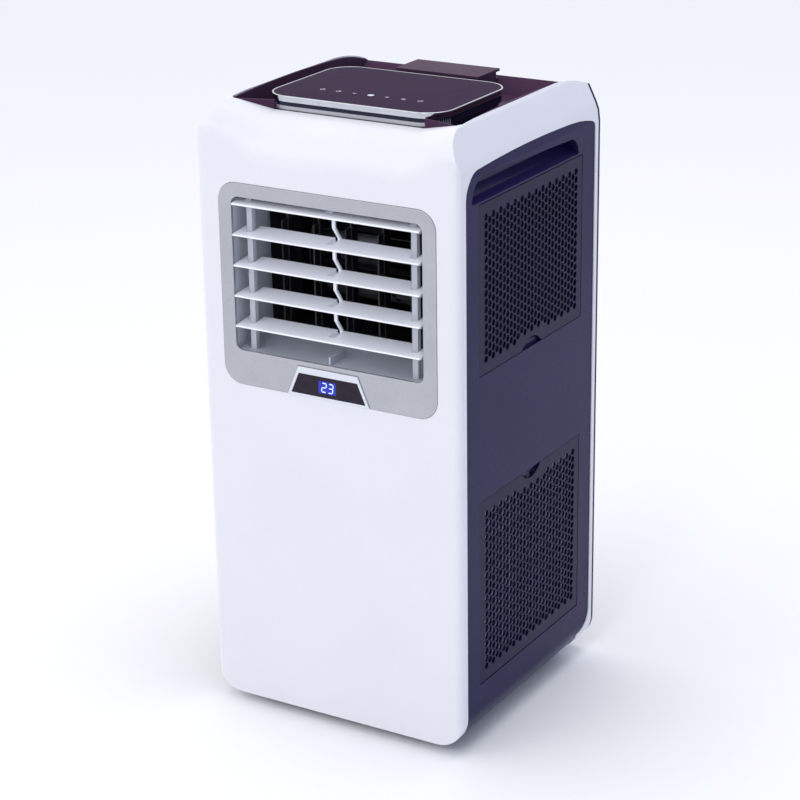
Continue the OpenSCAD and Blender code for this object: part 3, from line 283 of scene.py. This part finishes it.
def add(tree: bpy.types.NodeTree, kind: str, values: dict | None = None, links: dict | None = None,
        **settings: object) -> bpy.types.Node:
    """Add a shader node.

    Args:
        tree: the material's node tree.
        kind: the node's type.
        values: socket name to constant.
        links: socket name to the output that feeds it.
        settings: properties of the node.

    Returns:
        The new node.
    """
    new = tree.nodes.new(kind)
    for key, value in settings.items():
        setattr(new, key, value)
    for key, value in (values or {}).items():
        new.inputs[key].default_value = value
    for key, source in (links or {}).items():
        tree.links.new(source, new.inputs[key])
    return new


class Pattern(Enum):
    """How the surface was made, which decides its pattern."""

    MOULDED = "moulded"
    SPARKED = "spark eroded"
    FLAKE = "flake paint"
    FINS = "pressed fins"
    NET = "woven net"
    DRAWN = "drawn tube"


# Share of the shade colour that the slow patches of a surface take on.
PATCH_SHARE = 0.35
# Lacquer is this rough, and nothing is glossier than the least gloss.
LACQUER_ROUGHNESS = 0.08
LEAST_ROUGHNESS = 0.02
# A wave texture of scale 1 repeats this many times per metre.
WAVES_PER_METRE = 20


@dataclass(frozen=True)
class Finish:
    """One surface: its colours, its gloss and the size of its pattern.

    Sizes that end in mm are the real ones of the pattern. The patches vary the gloss slowly by the spread, and
    stretch squeezes the pattern along an axis.
    """

    name: str
    base: str
    shade: str
    roughness: float = 0.4
    spread: float = 0.06
    metallic: float = 0.0
    patch_mm: float = 60.0
    grain_mm: float = 1.2
    grain_height_mm: float = 0.02
    pattern: Pattern = Pattern.MOULDED
    coat: float = 0.0
    ior: float = 1.5
    glow: float = 0.0
    stretch: tuple[float, float, float] = (1.0, 1.0, 1.0)

    def material(self) -> bpy.types.Material:
        """Build the node material, or return it if it's there.

        Returns:
            The material of this finish.
        """
        known = bpy.data.materials.get(self.name)
        if known:
            return known
        made = bpy.data.materials.new(self.name)
        made.use_nodes = True
        tree = made.node_tree
        tree.nodes.clear()
        place = add(tree, "ShaderNodeTexCoord").outputs["Object"]
        shift = add(tree, "ShaderNodeMapping", values={"Scale": self.stretch}, links={"Vector": place})
        colour, height, depth = self.surface(tree, shift.outputs["Vector"])
        patch = add(tree, "ShaderNodeTexNoise", values={"Scale": 1000 / self.patch_mm, "Detail": 3.0},
                    links={"Vector": place})
        tint = add(tree, "ShaderNodeMix", data_type="RGBA", links={
            "Factor": patch.outputs["Fac"], "A": colour, "B": add(
                tree, "ShaderNodeMix", data_type="RGBA", blend_type="MULTIPLY",
                values={"Factor": PATCH_SHARE, "B": linear(self.shade)}, links={"A": colour}).outputs["Result"]})
        gloss = add(tree, "ShaderNodeMapRange", values={
            "To Min": max(LEAST_ROUGHNESS, self.roughness - self.spread), "To Max": self.roughness + self.spread},
            links={"Value": patch.outputs["Fac"]})
        bump = add(tree, "ShaderNodeBump", values={"Strength": 1.0, "Distance": depth * MM},
                   links={"Height": height})
        shader = add(tree, "ShaderNodeBsdfPrincipled", values={"Metallic": self.metallic}, links={
            "Base Color": tint.outputs["Result"], "Roughness": gloss.outputs["Result"],
            "Normal": bump.outputs["Normal"]})
        if self.metallic < 0.5:
            shader.inputs["IOR"].default_value = self.ior
        shader.inputs["Coat Weight"].default_value = self.coat
        shader.inputs["Coat Roughness"].default_value = LACQUER_ROUGHNESS
        if self.glow:
            shader.inputs["Emission Color"].default_value = linear(self.base)
            shader.inputs["Emission Strength"].default_value = self.glow
        add(tree, "ShaderNodeOutputMaterial", links={"Surface": shader.outputs["BSDF"]})
        return made

    def surface(self, tree: bpy.types.NodeTree, place: bpy.types.NodeSocket) -> tuple:
        """Build the pattern of this finish.

        Args:
            tree: the material's node tree.
            place: the coordinates that the pattern follows.

        Returns:
            The colour output, the height output and the height in millimetres.
        """
        if self.pattern is Pattern.FINS:
            return self.fins(tree, place)
        if self.pattern is Pattern.NET:
            return self.net(tree, place)
        if self.pattern is Pattern.FLAKE:
            flake = add(tree, "ShaderNodeTexVoronoi", values={"Scale": 1000 / self.grain_mm}, links={"Vector": place})
            height = flake.outputs["Distance"]
        else:
            detail = 8.0 if self.pattern is Pattern.SPARKED else 2.0
            grain = add(tree, "ShaderNodeTexNoise", values={"Scale": 1000 / self.grain_mm, "Detail": detail},
                        links={"Vector": place})
            height = grain.outputs["Fac"]
        colour = add(tree, "ShaderNodeMix", data_type="RGBA",
                     values={"A": linear(self.base), "B": linear(self.shade)}, links={"Factor": height})
        return colour.outputs["Result"], height, self.grain_height_mm

    def ramp(self, tree: bpy.types.NodeTree, height: bpy.types.NodeSocket, dark: float,
             light: float) -> bpy.types.NodeSocket:
        """Colour a height from the shade to the base.

        Args:
            tree: the material's node tree.
            height: the output to colour.
            dark: the height up to which all is shade.
            light: the height from which all is base.

        Returns:
            The colour output.
        """
        edge = add(tree, "ShaderNodeValToRGB", links={"Fac": height})
        for stop, position, colour in zip(edge.color_ramp.elements, (dark, light), (self.shade, self.base)):
            stop.position, stop.color = position, linear(colour)
        return edge.outputs["Color"]

    def fins(self, tree: bpy.types.NodeTree, place: bpy.types.NodeSocket) -> tuple:
        """Build thin upright sheets with painted shade in the gaps between them.

        Args:
            tree: the material's node tree.
            place: the coordinates that the sheets follow.

        Returns:
            The colour output, the height output and the height in millimetres.
        """
        wave = add(tree, "ShaderNodeTexWave", wave_type="BANDS", bands_direction="DIAGONAL",
                   values={"Scale": 1000 / self.grain_mm / WAVES_PER_METRE, "Distortion": 0.0},
                   links={"Vector": place})
        height = wave.outputs["Fac"]
        return self.ramp(tree, height, 0.35, 0.6), height, self.grain_height_mm

    def net(self, tree: bpy.types.NodeTree, place: bpy.types.NodeSocket) -> tuple:
        """Build crossing threads with painted shade in the openings between them.

        Args:
            tree: the material's node tree.
            place: the coordinates that the threads follow.

        Returns:
            The colour output, the height output and the height in millimetres.
        """
        threads = [add(tree, "ShaderNodeTexWave", wave_type="BANDS", bands_direction=way,
                       values={"Scale": 1000 / self.grain_mm / WAVES_PER_METRE, "Distortion": 0.4},
                       links={"Vector": place})
                   for way in ("Y", "Z")]
        over = add(tree, "ShaderNodeMath", operation="MAXIMUM")
        for socket, thread in zip(over.inputs, threads):
            tree.links.new(thread.outputs["Fac"], socket)
        height = over.outputs["Value"]
        return self.ramp(tree, height, 0.55, 0.8), height, self.grain_height_mm


# Injection moulded ABS in gloss white: a very faint orange peel that softens the reflections.
WHITE_ABS = Finish("white_gloss_abs", "E7E7EC", "E3E3E9", roughness=0.26, spread=0.02, grain_mm=5,
                   grain_height_mm=0.006, patch_mm=140, ior=1.4)
# ABS moulded in a spark eroded tool: fine even grain, deep indigo with a satin sheen.
INDIGO_ABS = Finish("indigo_textured_abs", "2A2356", "1E1842", roughness=0.28, spread=0.05, grain_mm=1.4,
                    grain_height_mm=0.012, patch_mm=90, pattern=Pattern.SPARKED, ior=1.19)
# The same resin in the thinner covers, moulded smoother.
COVER_ABS = Finish("indigo_cover_abs", "241E4A", "171332", roughness=0.32, spread=0.05, grain_mm=1.6,
                   grain_height_mm=0.012, patch_mm=70, pattern=Pattern.SPARKED, ior=1.19)
# The tray and the remote control box: the indigo resin with the warm light of the ceiling painted into its colour as a
# plum tint.
CEILING_LIT_INDIGO_ABS = Finish("indigo_abs_painted_ceiling_light", "563C56", "442F45", roughness=0.3, spread=0.05, grain_mm=1.4,
                  grain_height_mm=0.012, patch_mm=80, pattern=Pattern.SPARKED, ior=1.07)
# The dark band of the plinth, moulded in gloss midnight blue.
MIDNIGHT_ABS = Finish("midnight_gloss_abs", "1C1E3A", "141630", roughness=0.12, spread=0.03, grain_mm=6,
                      grain_height_mm=0.004, ior=1.35)
# Silver paint on plastic: tiny bright flakes under a satin lacquer.
SILVER_PAINT = Finish("silver_flake_paint", "C2C3C8", "AFB0B6", roughness=0.36, spread=0.04, metallic=0.55,
                      grain_mm=0.9, grain_height_mm=0.004, patch_mm=50, pattern=Pattern.FLAKE, coat=0.2)
# Vacuum chromed trim: a mirror with slight waves.
CHROME = Finish("chromed_trim", "D8D9DE", "C4C6CC", roughness=0.08, spread=0.02, metallic=1.0, grain_mm=9,
                grain_height_mm=0.004)
# Smoked acrylic over a printed black layer: deep violet black and very glossy.
SMOKED_ACRYLIC = Finish("smoked_acrylic", "3A2544", "2F1D3A", roughness=0.16, spread=0.04, grain_mm=12,
                        grain_height_mm=0.002, patch_mm=110, ior=1.03)
# Smoked acrylic of the display, browner and seen head on.
DISPLAY_ACRYLIC = Finish("display_acrylic", "3D3641", "322C37", roughness=0.14, spread=0.03, grain_mm=9,
                         grain_height_mm=0.002, patch_mm=60, ior=1.12)
# Paler silver lacquer on the raised frame of the display.
PALE_SILVER = Finish("pale_silver_lacquer", "E4E7EE", "D8DBE3", roughness=0.3, spread=0.04, metallic=0.3, grain_mm=0.9,
                     grain_height_mm=0.003, patch_mm=50, pattern=Pattern.FLAKE, coat=0.3)
# Milk white polystyrene of the blades, which lets some light through.
BLADE_PS = Finish("milky_polystyrene", "FAFBFF", "F3F5FC", roughness=0.3, spread=0.05, grain_mm=3,
                  grain_height_mm=0.006, patch_mm=45, coat=0.1)
# Light grey ABS of the duct, moulded plain.
DUCT_ABS = Finish("light_grey_abs", "C6C9D2", "B4B7C0", roughness=0.45, spread=0.05, grain_mm=2, grain_height_mm=0.01,
                  patch_mm=40)
# Carbon black polypropylene deep inside.
BLACK_PP = Finish("black_polypropylene", "101016", "08080C", roughness=0.5, spread=0.08, grain_mm=2,
                  grain_height_mm=0.02, patch_mm=35)
# Grey polypropylene of the collar, plug and inlet.
GREY_PP = Finish("dark_grey_polypropylene", "26262C", "1B1B20", roughness=0.45, spread=0.06, grain_mm=1.5,
                 grain_height_mm=0.02, patch_mm=30, pattern=Pattern.SPARKED)
# Zinc plated sheet steel.
ZINC = Finish("zinc_plated_steel", "9A9DA3", "84878E", roughness=0.42, spread=0.1, metallic=1.0, grain_mm=6,
              grain_height_mm=0.01, patch_mm=18)
# Bare aluminium fins at 1.8 mm, drawn at 3.6 mm so that they show; the shade colour is painted shade in the gaps
# between them.
FIN_STOCK = Finish("aluminium_fins", "B9BEC6", "2A2C31", roughness=0.38, metallic=0.9, grain_mm=3.6,
                   grain_height_mm=0.4, pattern=Pattern.FINS, stretch=(1.0, 1.0, 0.0))
# Dust net of nylon thread, drawn at 2.4 mm so that it shows; its shade colour is painted shade in the openings.
NYLON_NET = Finish("nylon_net", "A9AEBE", "3A3B48", roughness=0.6, grain_mm=2.4, grain_height_mm=0.3,
                   pattern=Pattern.NET)
# The net in front of the evaporator, darker than the lower net, with painted shade in its openings.
DARK_NET = Finish("dark_nylon_net", "3C3D4A", "0C0B14", roughness=0.6, grain_mm=2.4, grain_height_mm=0.3,
                  pattern=Pattern.NET)
# Black enamel on pressed steel.
ENAMEL = Finish("black_enamel", "15161A", "0C0D10", roughness=0.28, spread=0.06, grain_mm=4, grain_height_mm=0.02,
                coat=0.4)
# Drawn copper tube, slightly tarnished.
COPPER = Finish("drawn_copper", "B8714A", "8C4F33", roughness=0.3, spread=0.1, metallic=1.0, grain_mm=2.5,
                grain_height_mm=0.01, patch_mm=14, pattern=Pattern.DRAWN)
# Soft moulded rubber.
RUBBER = Finish("moulded_rubber", "18181A", "101012", roughness=0.75, spread=0.08, grain_mm=1.5, grain_height_mm=0.03)
# Nylon caster tread.
NYLON = Finish("caster_nylon", "202126", "17181C", roughness=0.5, spread=0.08, grain_mm=2, grain_height_mm=0.02,
               patch_mm=12)
# Green solder resist on a circuit board.
BOARD = Finish("solder_resist", "1F5137", "153A27", roughness=0.35, grain_mm=3, grain_height_mm=0.02)
# White ink of the touch signs, lit from below.
SIGN_INK = Finish("sign_ink", "C9CBD6", "B4B6C4", roughness=0.5, grain_mm=0.5, grain_height_mm=0.001, glow=0.35)
# The one key that is lit.
SIGN_LIT = Finish("sign_lit", "F2F6FF", "DDE8FF", roughness=0.5, grain_mm=0.5, grain_height_mm=0.001, glow=0.6)
# Blue segments behind the display window.
DIGIT_BLUE = Finish("digit_blue", "8FA6FF", "5F7DFF", roughness=0.4, grain_mm=0.5, grain_height_mm=0.001, glow=2.2)
# The blue glow round the digits.
SCREEN_BLUE = Finish("screen_blue", "1A1FA8", "141870", roughness=0.3, grain_mm=0.8, grain_height_mm=0.001, glow=0.5)
# Pale studio paper.
PAPER = Finish("studio_paper", "FCFCFD", "F9F9FB", roughness=0.85, spread=0.04, grain_mm=8, grain_height_mm=0.02,
               patch_mm=400)


# -------------------------------------------------------------------- pieces


class Slot(Enum):
    """Material slots of the record, which the pieces are handed but don't use."""

    WHITE = "white_plastic"
    DARK = "dark_plastic"
    SILVER = "silver_paint"
    CHROME = "chrome_trim"
    GLASS = "black_glass"
    DUCT = "duct_plastic"
    BLADE = "blade_plastic"
    GREY = "grey_plastic"


@dataclass
class Assembly:
    """A group of pieces that are dressed together."""

    frame: dict
    made: list[bpy.types.Object] = field(default_factory=list)

    def body_of(self, node: str) -> str:
        """Name the body that a node rides on."""
        return self.frame["nodes"][node]["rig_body"]

    def paint(self, finish: Finish, *nodes: str) -> None:
        """Give frame nodes a finish.

        Args:
            finish: the surface.
            nodes: names of the nodes.
        """
        for name in nodes:
            mesh = self.frame["nodes"][name].data
            mesh.materials.clear()
            mesh.materials.append(finish.material())
            log.info("%s: %s", name, finish.name)

    def soften(self, node: str, finish: Finish, width: float, slot: str,
               segments: int = 2) -> bpy.types.Object:
        """Make a piece like a frame node, with its sharp edges rounded.

        Args:
            node: the node that the piece stands for.
            finish: its surface.
            width: size of the rounding in millimetres.
            slot: the record's material slot.
            segments: steps of the rounding.

        Returns:
            The new piece, which rides on the node's body.
        """
        source = self.frame["nodes"][node]
        piece = bpy.data.objects.new(node + "_finished", source.data.copy())
        bpy.context.scene.collection.objects.link(piece)
        piece.data.materials.clear()
        with Editing(piece):
            bpy.ops.mesh.select_all(action="SELECT")
            bpy.ops.mesh.customdata_custom_splitnormals_clear()
            bpy.ops.mesh.remove_doubles(threshold=MERGE_MM * MM)
            bpy.ops.mesh.dissolve_limited(angle_limit=math.radians(PLANE_ANGLE))
            bpy.ops.mesh.select_all(action="SELECT")
            bpy.ops.mesh.normals_make_consistent(inside=False)
        round_edges(piece, width, segments)
        return self.place(piece, finish, self.body_of(node), slot, node)

    def place(self, piece: bpy.types.Object, finish: Finish, body: str, slot: str,
              *replaced: str) -> bpy.types.Object:
        """Finish a piece and let it ride on a body.

        Args:
            piece: the piece, in place.
            finish: its surface.
            body: the body it rides on.
            slot: the record's material slot; not used.
            replaced: nodes that it stands for.

        Returns:
            The same piece.
        """
        smooth(piece)
        piece.data.materials.clear()
        piece.data.materials.append(finish.material())
        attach(piece, body)
        if replaced:
            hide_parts(*replaced)
        self.made.append(piece)
        log.info("%s: %d faces on %s", piece.name, len(piece.data.polygons), body)
        return piece


@dataclass
class Casing(Assembly):
    """The white housing, the dark sides, the rear and the covers.

    The sizes are the roundings of the edges, in millimetres.
    """

    front_edge: float = 0.9
    side_edge: float = 0.5
    rear_edge: float = 0.8
    tray_edge: float = 0.6
    fitting_edge: float = 0.6

    def build(self) -> None:
        """Build and dress every outer moulding."""
        self.soften("front_housing", WHITE_ABS, self.front_edge, Slot.WHITE.value, 3)
        for side in ("left", "right"):
            self.soften(f"side_panel_{side}", INDIGO_ABS, self.side_edge, Slot.DARK.value)
            self.paint(COVER_ABS, f"upper_cover_{side}", f"lower_cover_{side}")
        self.soften("rear_housing", INDIGO_ABS, self.rear_edge, Slot.DARK.value)
        # The tray's colour has the ceiling's warm light painted in.
        self.soften("top_cover", CEILING_LIT_INDIGO_ABS, self.tray_edge, Slot.DARK.value)
        self.paint(DARK_NET, "upper_filters")
        self.paint(NYLON_NET, "lower_filters")
        self.paint(ZINC, "housing_screws", "base_pan")
        self.soften("exhaust_collar", GREY_PP, self.side_edge, Slot.GREY.value)
        self.soften("drain_plug", RUBBER, self.fitting_edge, Slot.GREY.value)
        self.soften("cord_inlet", GREY_PP, self.fitting_edge, Slot.GREY.value)


@dataclass
class ControlPanel(Assembly):
    """The glass with its signs, the rim, the plinth and the remote control box.

    Sizes are in millimetres. The signs stand on the glass at one pitch, in front of the middle of the board, and
    the plinth is dark in its upper band and behind its silver front.
    """

    pitch: float = 21.0
    sign_size: float = 2.6
    sign_setback: float = 12.0
    stroke: float = 0.7
    loop_sides: int = 28
    ink_height: float = 0.07
    band_height: float = 3.9
    silver_depth: float = 26
    glass_edge: float = 0.25
    plinth_edge: float = 0.5
    rim_edge: float = 0.8
    box_edge: float = 0.5
    lid_edge: float = 0.9

    def build(self) -> None:
        """Build and dress the panel and the box behind it."""
        plinth = self.soften("control_plinth", SILVER_PAINT, self.plinth_edge, Slot.SILVER.value)
        self.band(plinth)
        self.soften("control_rim", CHROME, self.rim_edge, Slot.CHROME.value, 4)
        self.soften("control_glass", SMOKED_ACRYLIC, self.glass_edge, Slot.GLASS.value)
        self.paint(BOARD, "control_board")
        # The box and its lid have the ceiling's warm light painted into their colour.
        self.soften("remote_caddy", CEILING_LIT_INDIGO_ABS, self.box_edge, Slot.DARK.value)
        self.soften("caddy_lid", CEILING_LIT_INDIGO_ABS, self.lid_edge, Slot.DARK.value, 3)
        self.signs()

    def band(self, plinth: bpy.types.Object) -> None:
        """Give the plinth its dark upper band and dark sides.

        Args:
            plinth: the silver plinth, whose lower front stays silver.
        """
        top = max(v.co.z for v in plinth.data.vertices) / MM
        front = min(v.co.y for v in plinth.data.vertices) / MM
        plinth.data.materials.append(MIDNIGHT_ABS.material())
        for face in plinth.data.polygons:
            middle = face.center / MM
            if middle.z > top - self.band_height or middle.y > front + self.silver_depth:
                face.material_index = 1

    def bar(self, name: str, x0: float, y0: float, x1: float, y1: float, top: float) -> bpy.types.Object:
        """Add one straight stroke of a sign.

        Args:
            name: name of the stroke.
            x0: where it starts, in millimetres.
            y0: where it starts, in millimetres.
            x1: where it ends, in millimetres.
            y1: where it ends, in millimetres.
            top: face of the glass, in millimetres.

        Returns:
            The stroke.
        """
        length = math.hypot(x1 - x0, y1 - y0) or self.stroke
        bpy.ops.mesh.primitive_cube_add(
            size=1, location=((x0 + x1) / 2 * MM, (y0 + y1) / 2 * MM, (top + self.ink_height / 2) * MM),
            rotation=(0, 0, math.atan2(y1 - y0, x1 - x0)),
            scale=(length * MM, self.stroke * MM, self.ink_height * MM))
        return named(name)

    def loop(self, name: str, x: float, y: float, radius: float, top: float) -> bpy.types.Object:
        """Add one round stroke of a sign, flattened to the height of the ink.

        Args:
            name: name of the stroke.
            x: its middle, in millimetres.
            y: its middle, in millimetres.
            radius: its radius, in millimetres.
            top: face of the glass, in millimetres.

        Returns:
            The stroke.
        """
        obj = ring(name, (x, y, 0), radius, self.stroke, self.loop_sides)
        with Editing(obj):
            bpy.ops.mesh.select_all(action="SELECT")
            bpy.ops.transform.resize(value=(1, 1, self.ink_height / self.stroke),
                                     center_override=(x * MM, y * MM, 0))
            bpy.ops.transform.translate(value=(0, 0, (top + self.ink_height / 2) * MM))
        return obj

    def signs(self) -> None:
        """Draw seven generic signs in a row on the glass."""
        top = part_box("control_glass")[1].z / MM
        board_low, board_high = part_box("control_board")
        y = (board_low.y + board_high.y) / 2 / MM - self.sign_setback
        r = self.sign_size
        strokes = {
            "power": [("o", 0, 0, r), ("l", 0, r * 0.3, 0, r * 1.3)],
            "timer": [("o", 0, 0, r), ("l", 0, 0, 0, r * 0.7), ("l", 0, 0, r * 0.55, 0)],
            "lower": [("l", -r, 0, r, 0), ("l", -r * 0.5, -r * 0.8, r * 0.5, -r * 0.8)],
            "mode": [("l", -r, -r, r, -r), ("l", -r, r, r, r), ("l", -r, -r, -r, r), ("l", r, -r, r, r),
                     ("l", -r, 0, r, 0), ("l", 0, -r, 0, r)],
            "raise": [("l", -r, 0, r, 0), ("l", 0, -r, 0, r)],
            "fan": [("l", -r, -r * 0.6, r, r * 0.6), ("l", -r, r * 0.6, r, -r * 0.6), ("l", 0, -r, 0, r)],
            "night": [("o", 0, 0, r * 0.9), ("l", r * 0.2, r * 0.9, r * 1.1, r * 0.9)],
        }
        for index, (name, parts) in enumerate(strokes.items()):
            x = (index - len(strokes) // 2) * self.pitch
            made = []
            for number, part in enumerate(parts):
                label = f"sign_{name}_{number}"
                if part[0] == "o":
                    made.append(self.loop(label, x + part[1], y + part[2], part[3], top))
                else:
                    made.append(self.bar(label, x + part[1], y + part[2], x + part[3], y + part[4], top))
            piece = join(made)
            piece.name = f"sign_{name}"
            self.place(piece, SIGN_LIT if name == "mode" else SIGN_INK, self.body_of("control_glass"),
                       Slot.GLASS.value)


@dataclass
class Outlet(Assembly):
    """The bezel, the duct, the blades, the vanes and the display.

    Sizes are in millimetres. The screen is lit round two digits, each named by the segments that are on.
    """

    blades: int = 5
    bezel_edge: float = 0.7
    frame_edge: float = 0.8
    window_edge: float = 0.15
    blade_edge: float = 0.3
    screen_left: float = -12.5
    screen_right: float = 10.5
    screen_half_height: float = 7.3
    screen_proud: float = 0.06
    screen_sunk: float = 0.02
    screen_edge: float = 0.03
    digit_left: float = -5.0
    digit_gap: float = 3.2
    digit_height: float = 10.5
    digit_width: float = 5.6
    digit_back: float = 0.05
    digit_front: float = 0.16
    slant: float = 0.1
    segment: float = 1.25
    segment_gap: float = 0.25
    digits: tuple[str, ...] = ("abged", "abgcd")

    def build(self) -> None:
        """Build and dress the outlet."""
        self.soften("outlet_bezel", SILVER_PAINT, self.bezel_edge, Slot.SILVER.value, 3)
        self.soften("outlet_duct", DUCT_ABS, self.blade_edge, Slot.DUCT.value)
        self.soften("display_frame", PALE_SILVER, self.frame_edge, Slot.SILVER.value, 3)
        self.soften("display_window", DISPLAY_ACRYLIC, self.window_edge, Slot.GLASS.value)
        for number in range(1, self.blades + 1):
            self.soften(f"louvre_{number}", BLADE_PS, self.blade_edge, Slot.BLADE.value)
            self.paint(BLACK_PP, f"vane_{number}")
        self.soften("louvre_link", BLADE_PS, self.blade_edge, Slot.BLADE.value)
        self.paint(BLACK_PP, "vane_link")
        self.paint(ZINC, "louvre_motor")
        self.display()

    def display(self) -> None:
        """Build the lit screen and its two seven segment digits."""
        low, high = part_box("display_window")
        face = low.y / MM
        middle_z = (low.z + high.z) / 2 / MM
        body = self.body_of("display_window")
        screen = block("display_screen",
                       (self.screen_left, face - self.screen_proud, middle_z - self.screen_half_height),
                       (self.screen_right, face + self.screen_sunk, middle_z + self.screen_half_height))
        round_edges(screen, self.screen_edge, 1)
        self.place(screen, SCREEN_BLUE, body, Slot.GLASS.value)
        for index, lit in enumerate(self.digits):
            x = self.digit_left + index * (self.digit_width + self.digit_gap)
            made = [self.stick(f"digit_{index}_{name}", name, x, middle_z, face) for name in lit]
            piece = join(made)
            piece.name = f"digit_{index + 1}"
            self.place(piece, DIGIT_BLUE, body, Slot.GLASS.value)

    def stick(self, label: str, name: str, x: float, z: float, face: float) -> bpy.types.Object:
        """Build one lit segment as a six sided bar.

        Args:
            label: name of the piece.
            name: the segment, a to g.
            x: middle of the digit, in millimetres.
            z: middle of the digit, in millimetres.
            face: front of the display window, in millimetres.

        Returns:
            The new bar.
        """
        w, h, t = self.digit_width / 2, self.digit_height / 2, self.segment / 2
        ends = {"a": (-w, h, w, h), "g": (-w, 0, w, 0), "d": (-w, -h, w, -h), "f": (-w, h, -w, 0),
                "b": (w, h, w, 0), "e": (-w, 0, -w, -h), "c": (w, 0, w, -h)}[name]
        start, end = Vector(ends[:2]), Vector(ends[2:])
        along = (end - start).normalized()
        side = Vector((-along.y, along.x)) * t
        start, end = start + along * self.segment_gap, end - along * self.segment_gap
        shape = [start, start + along * t + side, end - along * t + side, end, end - along * t - side,
                 start + along * t - side]
        outline = [(x + p.x + self.slant * p.y, z + p.y) for p in shape]
        return prism(label, outline, 1, face - self.digit_front, face - self.digit_back)


@dataclass
class Innards(Assembly):
    """Everything behind the covers and under the body."""

    casters: int = 4

    def build(self) -> None:
        """Dress the inner parts and the casters."""
        self.paint(FIN_STOCK, "evaporator_coil", "condenser_coil")
        self.paint(DUCT_ABS, "water_tray", "condenser_scroll")
        self.paint(BLACK_PP, "evaporator_scroll", "evaporator_wheel", "condenser_wheel")
        self.paint(ENAMEL, "compressor")
        self.paint(RUBBER, "compressor_mounts")
        self.paint(COPPER, "refrigerant_pipes")
        self.paint(ZINC, "evaporator_motor", "condenser_motor", "electrical_box")
        for number in range(1, self.casters + 1):
            self.paint(NYLON, f"caster_fork_{number}", f"caster_wheels_{number}")


# --------------------------------------------------------------------- stage


@dataclass(frozen=True)
class Lamp:
    """One square softbox: where it hangs and what it points at, in metres, its side, and its power in watts."""

    name: str
    place: tuple[float, float, float]
    target: tuple[float, float, float]
    size: float
    power: float
    tint: str = "FFFFFF"

    def hang(self) -> None:
        """Add the lamp to the scene."""
        data = bpy.data.lights.new(self.name, "AREA")
        data.shape, data.size, data.energy, data.color = "SQUARE", self.size, self.power, linear(self.tint)[:3]
        lamp = bpy.data.objects.new(self.name, data)
        lamp.location = self.place
        lamp.rotation_euler = (Vector(self.target) - Vector(self.place)).to_track_quat("-Z", "Y").to_euler()
        bpy.context.scene.collection.objects.link(lamp)


@dataclass
class Studio:
    """The camera, the lights and the floor.

    The camera's angles are in degrees, its lens and sensor in millimetres, its place in metres. The sky is near
    white on the left and fades to the far side's colour on the right, which gives the dark side panel its sheen.
    """

    azimuth: float = 31.059
    elevation: float = 20.368
    roll: float = -0.859
    lens: float = 106.54
    sensor: float = 36
    reach: float = 60
    place: tuple[float, float, float] = (1.34830, -2.25005, 1.32988)
    floor_size: float = 24
    floor_drop: float = 0.0005
    near_side: str = "FCFCFF"
    far_side: str = "A9B6D2"
    fade: tuple[float, float] = (0.0, 0.9)
    sky: float = 1.06
    lamps: tuple[Lamp, ...] = (
        Lamp("key", (-1.6, -2.6, 2.4), (0, 0, 0.4), 1.6, 10),
        Lamp("fill", (0.5, -2.6, 1.9), (0, -0.1, 0.56), 0.7, 7),
        Lamp("top", (0.2, 0.2, 2.8), (0, 0, 0.6), 1.8, 14),
    )

    def camera(self) -> None:
        """Add the camera and make it the scene's."""
        a, e, r = (math.radians(v) for v in (self.azimuth, self.elevation, self.roll))
        back = Vector((math.sin(a) * math.cos(e), -math.cos(a) * math.cos(e), math.sin(e)))
        right = Vector((math.cos(a), math.sin(a), 0))
        up = back.cross(right)
        turned = (right * math.cos(r) + up * math.sin(r), up * math.cos(r) - right * math.sin(r), back)
        data = bpy.data.cameras.new("camera")
        data.lens, data.sensor_width, data.clip_end = self.lens, self.sensor, self.reach
        camera = bpy.data.objects.new("camera", data)
        matrix = Matrix(turned).transposed().to_4x4()
        matrix.translation = Vector(self.place)
        camera.matrix_world = matrix
        bpy.context.scene.collection.objects.link(camera)
        bpy.context.scene.camera = camera

    def backdrop(self) -> None:
        """Build the sky."""
        world = bpy.data.worlds.new("studio")
        world.use_nodes = True
        tree = world.node_tree
        background = tree.nodes["Background"]
        way = add(tree, "ShaderNodeSeparateXYZ",
                  links={"Vector": add(tree, "ShaderNodeTexCoord").outputs["Generated"]})
        share = add(tree, "ShaderNodeMapRange", values={"From Min": self.fade[0], "From Max": self.fade[1]},
                    links={"Value": way.outputs["X"]}, interpolation_type="SMOOTHSTEP")
        sky = add(tree, "ShaderNodeMix", data_type="RGBA",
                  values={"A": linear(self.near_side), "B": linear(self.far_side)},
                  links={"Factor": share.outputs["Result"]})
        tree.links.new(sky.outputs["Result"], background.inputs["Color"])
        background.inputs["Strength"].default_value = self.sky
        bpy.context.scene.world = world

    def build(self) -> None:
        """Set up the camera, the floor, the sky and the lamps."""
        self.camera()
        bpy.ops.mesh.primitive_plane_add(size=self.floor_size, location=(0, 0, -self.floor_drop))
        floor = named("floor")
        floor.data.materials.append(PAPER.material())
        self.backdrop()
        for lamp in self.lamps:
            lamp.hang()
        settings = bpy.context.scene.view_settings
        settings.view_transform, settings.look = "Standard", "None"


def main() -> None:
    """Build the looks, one sub-assembly after the other."""
    logging.basicConfig(level=logging.INFO, format="%(name)s: %(message)s")
    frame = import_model()
    Studio().build()
    for kind in (Casing, ControlPanel, Outlet, Innards):
        group = kind(frame)
        group.build()
        log.info("%s: %d pieces", kind.__name__, len(group.made))


if __name__ == "__main__":
    main()
